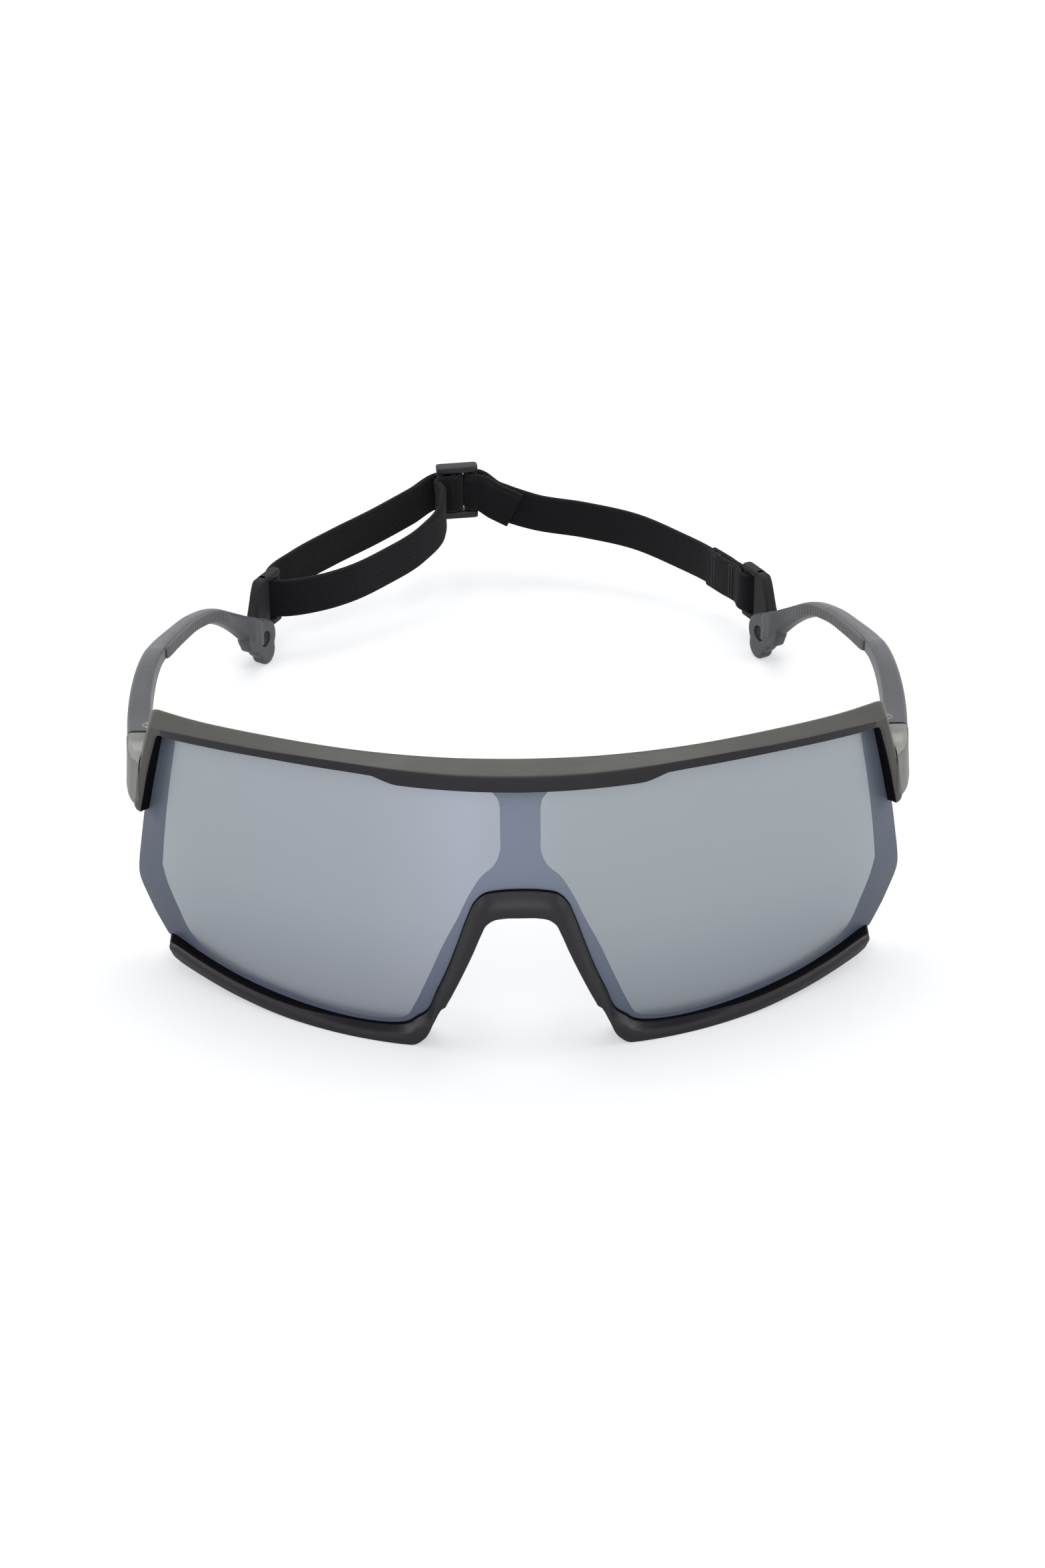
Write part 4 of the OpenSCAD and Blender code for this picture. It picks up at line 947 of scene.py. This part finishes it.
gripPart = buildGrip()
addPiece("rightEarGrip", *gripPart, "right_arm", "rubber", finishes["rubber"], ["right_ear_grip"], sharp=50)
addPiece("leftEarGrip", *mirrored(gripPart), "left_arm", "rubber", finishes["rubber"], ["left_ear_grip"], sharp=50)
print("ear grips done")

# Nose pads
pad = {"length": 16.0, "half": 4.2, "thickness": 2.0, "lean": 21.7, "splay": 25.0, "rows": 40, "columns": 64}


def buildPad():
    # The left pad: an oval cushion, a superellipse in outline and in section (thickness along X, width along Y and
    # length along Z), turned by the splay about Z and by the lean about Y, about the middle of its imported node.
    def power(value, exponent):
        # A power that keeps the sign.
        return np.sign(value) * np.abs(value) ** exponent

    rise = np.linspace(-np.pi / 2, np.pi / 2, pad["rows"])[:, None]
    turn = np.linspace(0, 2 * np.pi, pad["columns"], endpoint=False)[None, :]
    out = power(np.cos(rise), 0.6)
    along = (pad["length"] / 2) * out * power(np.cos(turn), 0.85)
    across = pad["half"] * out * power(np.sin(turn), 0.95)
    thick = pad["thickness"] / 2 * power(np.sin(rise), 0.8) * np.ones_like(turn)
    a, b = math.radians(pad["splay"]), math.radians(pad["lean"])
    spin = np.array([[math.cos(a), -math.sin(a), 0], [math.sin(a), math.cos(a), 0], [0, 0, 1]])
    tip = np.array([[math.cos(b), 0, math.sin(b)], [0, 1, 0], [-math.sin(b), 0, math.cos(b)]])
    centre = np.mean(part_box("nose_pad_left"), axis=0) * 1000 + (0, glasses["middleY"], 0)
    return tube(np.stack([thick, across, along], -1) @ spin.T @ tip.T + centre)


padPart = buildPad()
for label, part, node in (("leftNosePad", padPart, "nose_pad_left"),
                          ("rightNosePad", mirrored(padPart), "nose_pad_right")):
    addPiece(label, *part, "front", "rubber", finishes["rubber"], [node], sharp=60, weld=True)
print("nose pads done")

# Strap clips on the pegs of the temple tips, in the right tip's frame
clip = {
    "thickness": 2.4, "start": 1.6, "length": 10.9, "barRadius": 1.2, "barShort": 0.2, "rail": 1.5, "height": 12.4,
    "middleZ": 11.6, "boss": 3.2, "neck": 4.35, "slot": 6.75, "end": 12.1, "edge": 0.55, "railEdge": 0.42,
    "railEnds": [(-0.8, 1.0), (-0.25, 0.86), (0.0, 0.55)],   # how the rails shrink at their ends: from the end, share
    # the peg and the boss's cap, as radius and place outwards
    "pegProfile": [(1.2, -1.15), (1.5, -1.05), (1.62, -0.8), (1.62, -0.3), (1.5, 0.0), (1.5, 1.4), (1.62, 1.9)],
    "capProfile": [(2.1, 0.0), (2.05, 0.108), (1.8, 0.18), (0.3, 0.216)], "capSunk": 0.05,
}


def buildClip():
    # A round boss that widens to the frame by a smooth step, two rails, the strap's bar between them, the peg in the
    # temple's hole and a low round cap: rounded sections along the plate, and profiles turned about its normal.
    out, tipZ, boss = clip["start"] + clip["thickness"] / 2, glasses["tipZ"], clip["boss"]
    low, top = clip["middleZ"] - clip["height"] / 2, clip["middleZ"] + clip["height"] / 2

    def plate(along, middle, width, height, radius, corner, flat):
        # Rounded sections about a line of middles, one at each place along the plate.
        u, v = roundedSection(width, height, radius, corner, flat)
        middle = np.broadcast_to(middle, len(along))[:, None]
        return tube(tipFrame(np.stack([np.broadcast_to(along[:, None], u.shape), out + u, middle + v], -1)))

    def spun(profile, start):
        # A profile turned about the plate's normal through the peg, from a place outwards.
        radius, place = np.array(profile).T
        angle = np.linspace(0, 2 * np.pi, 32, endpoint=False)
        return tube(tipFrame(np.stack([radius[:, None] * np.cos(angle), np.repeat((start + place)[:, None], 32, 1),
                                       tipZ + radius[:, None] * np.sin(angle)], -1)))

    turn = np.linspace(np.pi * 0.97, np.pi / 2, 14)
    t = np.linspace(0.1, 1, 10)
    ease = t * t * (3 - 2 * t)
    along = np.concatenate([boss * np.cos(turn), clip["neck"] * t, [clip["slot"]]])
    lower = np.concatenate([tipZ - boss * np.sin(turn), tipZ - boss + (low - tipZ + boss) * ease, [low]])
    upper = np.concatenate([tipZ + boss * np.sin(turn), tipZ + boss + (top - tipZ - boss) * ease, [top]])
    height = upper - lower
    parts = [plate(along, (lower + upper) / 2, np.full(len(along), clip["thickness"]), height,
                   np.minimum(clip["edge"], height * 0.4), 6, 3)]
    ends, shrink = np.array(clip["railEnds"]).T
    along = np.concatenate([[clip["slot"] - 0.8, clip["slot"] + 1], clip["end"] + ends])
    size = np.concatenate([[1, 1], shrink])
    for z in (low + clip["rail"] / 2, top - clip["rail"] / 2):
        parts.append(plate(along, z, clip["thickness"] * size, clip["rail"] * (0.6 + 0.4 * size),
                           clip["railEdge"] * size, 6, 2))
    bar = ringProfile(clip["barRadius"], low + clip["barShort"], top - clip["barShort"], 0.2)
    parts.append(turned(tipFrame([clip["length"], out, 0]), bar, 32))
    parts.append(spun(clip["pegProfile"], 0.0))
    parts.append(spun(clip["capProfile"], out + clip["thickness"] / 2 - clip["capSunk"]))
    return joined(*parts)


clipPart = buildClip()
addPiece("rightStrapClip", *clipPart, "right_arm", "clip", finishes["clip"], ["right_strap_clip"], sharp=45)
addPiece("leftStrapClip", *mirrored(clipPart), "left_strap", "clip", finishes["clip"], ["left_strap_clip"], sharp=45)
print("clips done")

# Retainer strap: its course as shares across, back and up
strap = {
    "width": 8.8, "thickness": 1.4, "reach": 35.8, "barGap": 0.02, "sliderBar": 0.9, "pitch": 3.8, "loopBar": 4.645,
    "outer": [(-0.432, 0.873, 0.767), (-0.584, 0.706, 0.535), (-0.764, 0.494, 0.349), (-0.926, 0.27, 0.186),
              (-1.02, 0.102, 0.04)],
    "inner": [(-0.947, -0.065, 0.03), (-0.802, -0.018, 0.08), (-0.688, 0.075, 0.116), (-0.535, 0.27, 0.209),
              (-0.382, 0.499, 0.395), (-0.3, 0.689, 0.651), (-0.292, 0.83, 0.88)],
    "right": [(-0.057, 0.985, 0.74), (0.096, 0.957, 0.43), (0.325, 0.879, 0.31), (0.546, 0.75, 0.2),
              (0.726, 0.566, 0.02)],
    "tail": [(9.4, -3.0, -4.0), (5.2, -2.5, -2.0)],   # the sewn tail at the slider, from its right bar
    "lead": 3.4, "layerGap": 0.04, "bulge": 0.05,     # straight webbing at a bar, and the two layers of the sewn end
    "overlap": 1.1, "joinBefore": 1.3, "joinAfter": 2.6, "endSteps": (1.6, 2.8),   # about the bend
}
stitch = {"rows": (2.4, 3.3, 9.2, 10.1), "count": 14, "reach": 3.9, "radii": (0.16, 0.24, 0.24, 0.16), "proud": 0.1,
          "slant": 0.16, "dive": 0.35, "tall": 1.4, "sides": 6}


def strapPlace(shares):
    # From shares to millimetres: across by the clips' bars, back by the strap's reach, up from the bars to the slider.
    shares = np.asarray(shares, float)
    barX, barY, barZ = glasses["clipBar"]
    return np.stack([barX * shares[:, 0], barY + strap["reach"] * shares[:, 1],
                     barZ + (glasses["sliderBar"][2] - barZ) * shares[:, 2]], -1)


def arcPoints(centre, radius, start, stop, z, count=12):
    # An arc about an upright bar, from start to stop in degrees.
    a = np.radians(np.linspace(start, stop, count))
    return np.stack([centre[0] + radius * np.cos(a), centre[1] + radius * np.sin(a), np.full(count, z)], -1)


def webbingPiece(name, path, body, nodes, closed=False, ride=True):
    # Webbing that stands on its edge along a path: a rounded section with thin selvedges, UV in metres along and
    # round it, for the weave.
    thick = strap["thickness"]
    sections = carried(path, thick, strap["width"], thick * 0.42, 4, 9, closed)
    rows, columns = sections.shape[:2]
    if closed:
        index = np.arange(rows * columns).reshape(rows, columns)
        nextRow, nextColumn = np.roll(index, -1, 0), np.roll(index, -1, 1)
        faces = np.stack([index, nextColumn, np.roll(nextRow, -1, 1), nextRow], -1).reshape(-1, 4).tolist()
        points, faces = outward(sections.reshape(-1, 3), faces)
    else:
        points, faces = tube(sections)
    run, around = (np.concatenate([[0], np.cumsum(np.linalg.norm(np.diff(line, axis=0), axis=1))]) / 1000
                   for line in (path, sections[0]))
    uv = np.stack([np.repeat(run, columns), np.tile(around, rows)], -1)
    return addPiece(name, points, faces, body, "webbing", finishes["webbing"], nodes, sharp=50, uv=uv, ride=ride)


def unit(vector):
    # A vector over its own length.
    return vector / np.linalg.norm(vector)


def stitchRows(start, away, side, reach):
    # Bar tacks: rows of thread through both layers, each stitch a short six-sided rod that dips at its ends.
    angle = np.linspace(0, 2 * np.pi, stitch["sides"], endpoint=False)
    radius = np.array(stitch["radii"])[:, None, None]
    ring = radius * (np.cos(angle)[None, :, None] * away
                     + np.sin(angle)[None, :, None] * np.array([0, 0, stitch["tall"]]))
    slant, dive = (0, 0, stitch["slant"]), reach - stitch["dive"]
    stitches = []
    for along in stitch["rows"]:
        for height in np.linspace(-stitch["reach"], stitch["reach"], stitch["count"]):
            middle = start - away * along + (0, 0, height)
            knot = np.stack([middle - side * reach - slant, middle - side * dive, middle + side * dive,
                             middle + side * reach + slant])
            stitches.append(tube(knot[:, None] + ring))
    return joined(*stitches)


def buildStrap():
    # Three stretches of webbing on smooth curves through the strap's course: the loop over the slider's left bar and
    # round the left clip's bar; the right stretch from a sewn tail round the slider's right bar to the bend; and the
    # sewn end, two layers from the bend and round the right clip's bar. At a bar the course is an arc about it.
    clipBar, pivot, bend = (np.array(glasses[name]) for name in ("clipBar", "sliderBar", "bend"))
    turn, z = math.radians(glasses["sliderTurn"]), pivot[2]
    slide = np.array([math.cos(turn), math.sin(turn), 0])
    loopBar, lead = pivot - strap["loopBar"] * slide, strap["lead"] * slide
    wrap = strap["sliderBar"] + strap["barGap"] + strap["thickness"] / 2
    clipWrap = clip["barRadius"] + strap["barGap"] + strap["thickness"] / 2

    route = np.concatenate([arcPoints(loopBar, wrap, -82, 98, z, 16), [loopBar - lead + (0, wrap, -0.3)],
                            strapPlace(strap["outer"]),
                            arcPoints(clipBar * (-1, 1, 1), clipWrap, 150, 280, clipBar[2], 10),
                            strapPlace(strap["inner"]), [loopBar - lead - (0, wrap, 0.3)]])
    path = smoothPath(np.concatenate([route, route[:1]]), 260)[:-1]
    webbingPiece("strapLoop", path, "left_strap", ["strap_loop"], closed=True)

    right, away = strapPlace(strap["right"]), unit(bend - clipBar)
    path = np.concatenate([pivot + strap["tail"], arcPoints(pivot, wrap, -70, -270, z, 12), right,
                           [bend], [bend - away * step for step in strap["endSteps"]]])
    piece = webbingPiece("strapRight", smoothPath(path, 170), "right_strap", ["strap_right"], ride=False)
    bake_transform(piece)

    side = unit(np.array([-away[1], away[0], 0]))
    half = strap["thickness"] / 2 + strap["layerGap"]
    start, lead = bend - away * strap["overlap"], clipBar + away * strap["lead"]
    middle, heading = start * 0.5 + lead * 0.5, math.degrees(math.atan2(side[1], side[0]))
    layer = [start + side * half, middle + side * (half + strap["bulge"]), lead + side * half]
    back = [lead - side * half, middle - side * (half + strap["bulge"]), start - side * half]
    route = np.concatenate([layer, arcPoints(clipBar, clipWrap, heading, heading + 180, clipBar[2], 14), back])
    webbingPiece("strapEnd", smoothPath(route, 110), "sewn_end", ["strap_end"])
    reach = half + strap["thickness"] / 2 + stitch["proud"]
    addPiece("strapStitches", *stitchRows(start, away, side, reach), "sewn_end", "webbing", finishes["thread"])


buildStrap()
print("strap done")

# Slider
slider = {"length": 9.4, "thickness": 3.0, "height": 13.0, "rail": 1.8, "railEdge": 0.6, "railRound": 0.9,
          "barRadius": 0.9, "barShort": 0.5}


def buildSlider():
    # Two rails above and below the strap, rounded at both ends by a quarter circle, joined by three round bars.
    turn = math.radians(glasses["sliderTurn"])
    slide, side = np.array([math.cos(turn), math.sin(turn), 0]), np.array([-math.sin(turn), math.cos(turn), 0])
    middle = np.array(glasses["sliderBar"]) - strap["pitch"] * slide
    quarter = np.linspace(0.25, np.pi / 2, 7)
    half, inset = slider["length"] / 2, slider["railRound"] * (1 - np.cos(quarter))
    along = np.concatenate([inset - half, half - inset[::-1]])
    size = np.concatenate([np.sin(quarter), np.sin(quarter[::-1])]) * 0.45 + 0.55
    parts = []
    for sign in (-1, 1):
        z = sign * (slider["height"] - slider["rail"]) / 2
        u, v = roundedSection(slider["thickness"] * size, slider["rail"] * (0.5 + 0.5 * size),
                              slider["railEdge"] * size, 6, 2)
        parts.append(tube(middle + along[:, None, None] * slide + u[..., None] * side + (z + v)[..., None] * (0, 0, 1)))
    reach = slider["height"] / 2 - slider["barShort"]
    bar = ringProfile(slider["barRadius"], -reach, reach, 0.15)
    for shift in (-strap["pitch"], strap["pitch"] - strap["loopBar"], strap["pitch"]):
        parts.append(turned(middle + shift * slide, bar, 24))
    return joined(*parts)


addPiece("strapSlider", *buildSlider(), "left_strap", "clip", finishes["slider"], ["strap_slider"], sharp=45)
print("slider done")

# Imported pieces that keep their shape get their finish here
kept = {"nose_bracket": "rim", "left_hinge_screw": "screw", "right_hinge_screw": "screw",
        "left_hinge_nut": "nut", "right_hinge_nut": "nut"}
for name, finish in kept.items():
    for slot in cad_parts[name].material_slots:
        slot.material = finishes[finish]

# Stage
stage = {
    "floorSize": 60.0, "floorColour": (0.5, 0.5, 0.5), "floorGlow": (0.97, 0.98, 1.0), "floorLift": 0.48,
    "floorNear": 0.35, "floorFar": 1.0,   # metres from the middle, between which the glow rises from the lift to 1
    "worldColour": (0.98, 0.985, 1.0), "worldLight": 0.35,
    # name: place, size and power of each lamp, which faces the middle
    "lamps": {"topLight": ((0.0, 0.25, 0.95), 0.8, 6.5), "leftLight": ((-0.85, -0.05, 0.5), 0.6, 3.0),
              "rightLight": ((0.85, -0.05, 0.5), 0.6, 3.0), "frontLight": ((0.0, -0.9, 0.5), 0.9, 4.5)},
}


def seenPlainly(tree):
    # 1 where the camera looks, also in a reflection or through glass, and 0 for the light that falls on the object:
    # the largest of the light path's three numbers.
    path = tree.nodes.new("ShaderNodeLightPath")
    seen = calculate(tree, "MAXIMUM", path.outputs["Is Camera Ray"], path.outputs["Is Glossy Ray"])
    return calculate(tree, "MAXIMUM", seen, path.outputs["Is Transmission Ray"])


def turnedTo(place, right, up, back):
    # The matrix of a thing at a place from its three directions.
    matrix = np.eye(4)
    matrix[:3, 0], matrix[:3, 1], matrix[:3, 2], matrix[:3, 3] = right, up, back, place
    return Matrix(matrix.tolist())


def buildFloor():
    # A flat square that glows only where it is seen plainly: by the lift near the middle, up to 1 from the far reach.
    half = stage["floorSize"] / 2
    mesh = bpy.data.meshes.new("floor")
    mesh.from_pydata([(-half, -half, 0), (half, -half, 0), (half, half, 0), (-half, half, 0)], [], [(0, 1, 2, 3)])
    floor = bpy.data.objects.new("floor", mesh)
    bpy.context.scene.collection.objects.link(floor)
    material, tree, shader, place, _ = plainMaterial("paleTable")
    tint = ramp(tree, noise(tree, place, 3, 2), [(0.3, shade(stage["floorColour"], 0.995)),
                                                 (0.7, stage["floorColour"])])
    tree.links.new(tint, shader.inputs["Base Color"])
    socket(shader, Roughness=0.9, Specular_IOR_Level=0.1)
    distance = tree.nodes.new("ShaderNodeVectorMath")
    distance.operation = "LENGTH"
    tree.links.new(place, distance.inputs[0])
    lift = spread(tree, distance.outputs["Value"], stage["floorLift"], 1.0, stage["floorNear"], stage["floorFar"])
    shader.inputs["Emission Color"].default_value = (*stage["floorGlow"], 1)
    tree.links.new(calculate(tree, "MULTIPLY", seenPlainly(tree), lift), shader.inputs["Emission Strength"])
    mesh.materials.append(material)


def buildLight():
    # A world that is white where it is seen plainly and dim as light, and square lamps that face the middle.
    world = bpy.data.worlds.new("paleStudio")
    world.use_nodes = True
    bpy.context.scene.world = world
    tree = world.node_tree
    background = tree.nodes["Background"]
    background.inputs["Color"].default_value = (*stage["worldColour"], 1)
    mix = tree.nodes.new("ShaderNodeMix")
    mix.inputs["A"].default_value = stage["worldLight"]
    mix.inputs["B"].default_value = 1.0
    tree.links.new(seenPlainly(tree), mix.inputs["Factor"])
    tree.links.new(mix.outputs["Result"], background.inputs["Strength"])
    for name, (place, size, power) in stage["lamps"].items():
        lamp = bpy.data.lights.new(name, "AREA")
        lamp.size = size
        lamp.energy = power
        holder = bpy.data.objects.new(name, lamp)
        bpy.context.scene.collection.objects.link(holder)
        direction = unit(np.array(place))
        side = unit(np.cross((0, 1, 0), direction))
        holder.matrix_world = turnedTo(place, side, np.cross(direction, side), direction)


buildFloor()
buildLight()

# Camera: place in millimetres, angles in radians, focal length and image height in pixels
view = {"place": (-4.9348, -534.690, 352.4756), "pitch": 0.50734801, "yaw": 0.01002707, "roll": -0.00692495,
        "focal": 5286.633, "imageHeight": 2352, "sensor": 36.0}


def buildCamera():
    # The camera solved from the photograph: forward by yaw and pitch, then rolled about it.
    pitch, yaw, roll = view["pitch"], view["yaw"], view["roll"]
    forward = np.array([math.sin(yaw) * math.cos(pitch), math.cos(yaw) * math.cos(pitch), -math.sin(pitch)])
    right = np.array([math.cos(yaw), -math.sin(yaw), 0])
    up = np.cross(right, forward)
    c, s = math.cos(roll), math.sin(roll)
    right, up = c * right + s * up, c * up - s * right
    lens = bpy.data.cameras.new("photoCamera")
    lens.sensor_width = view["sensor"]
    lens.sensor_fit = "AUTO"
    lens.lens = view["focal"] * view["sensor"] / view["imageHeight"]
    lens.clip_start = 0.01
    camera = bpy.data.objects.new("photoCamera", lens)
    bpy.context.scene.collection.objects.link(camera)
    camera.matrix_world = turnedTo(placeOnModel(view["place"]), right, up, -forward)
    bpy.context.scene.camera = camera


buildCamera()
bpy.context.scene.view_settings.view_transform = "Standard"
print("stage done")
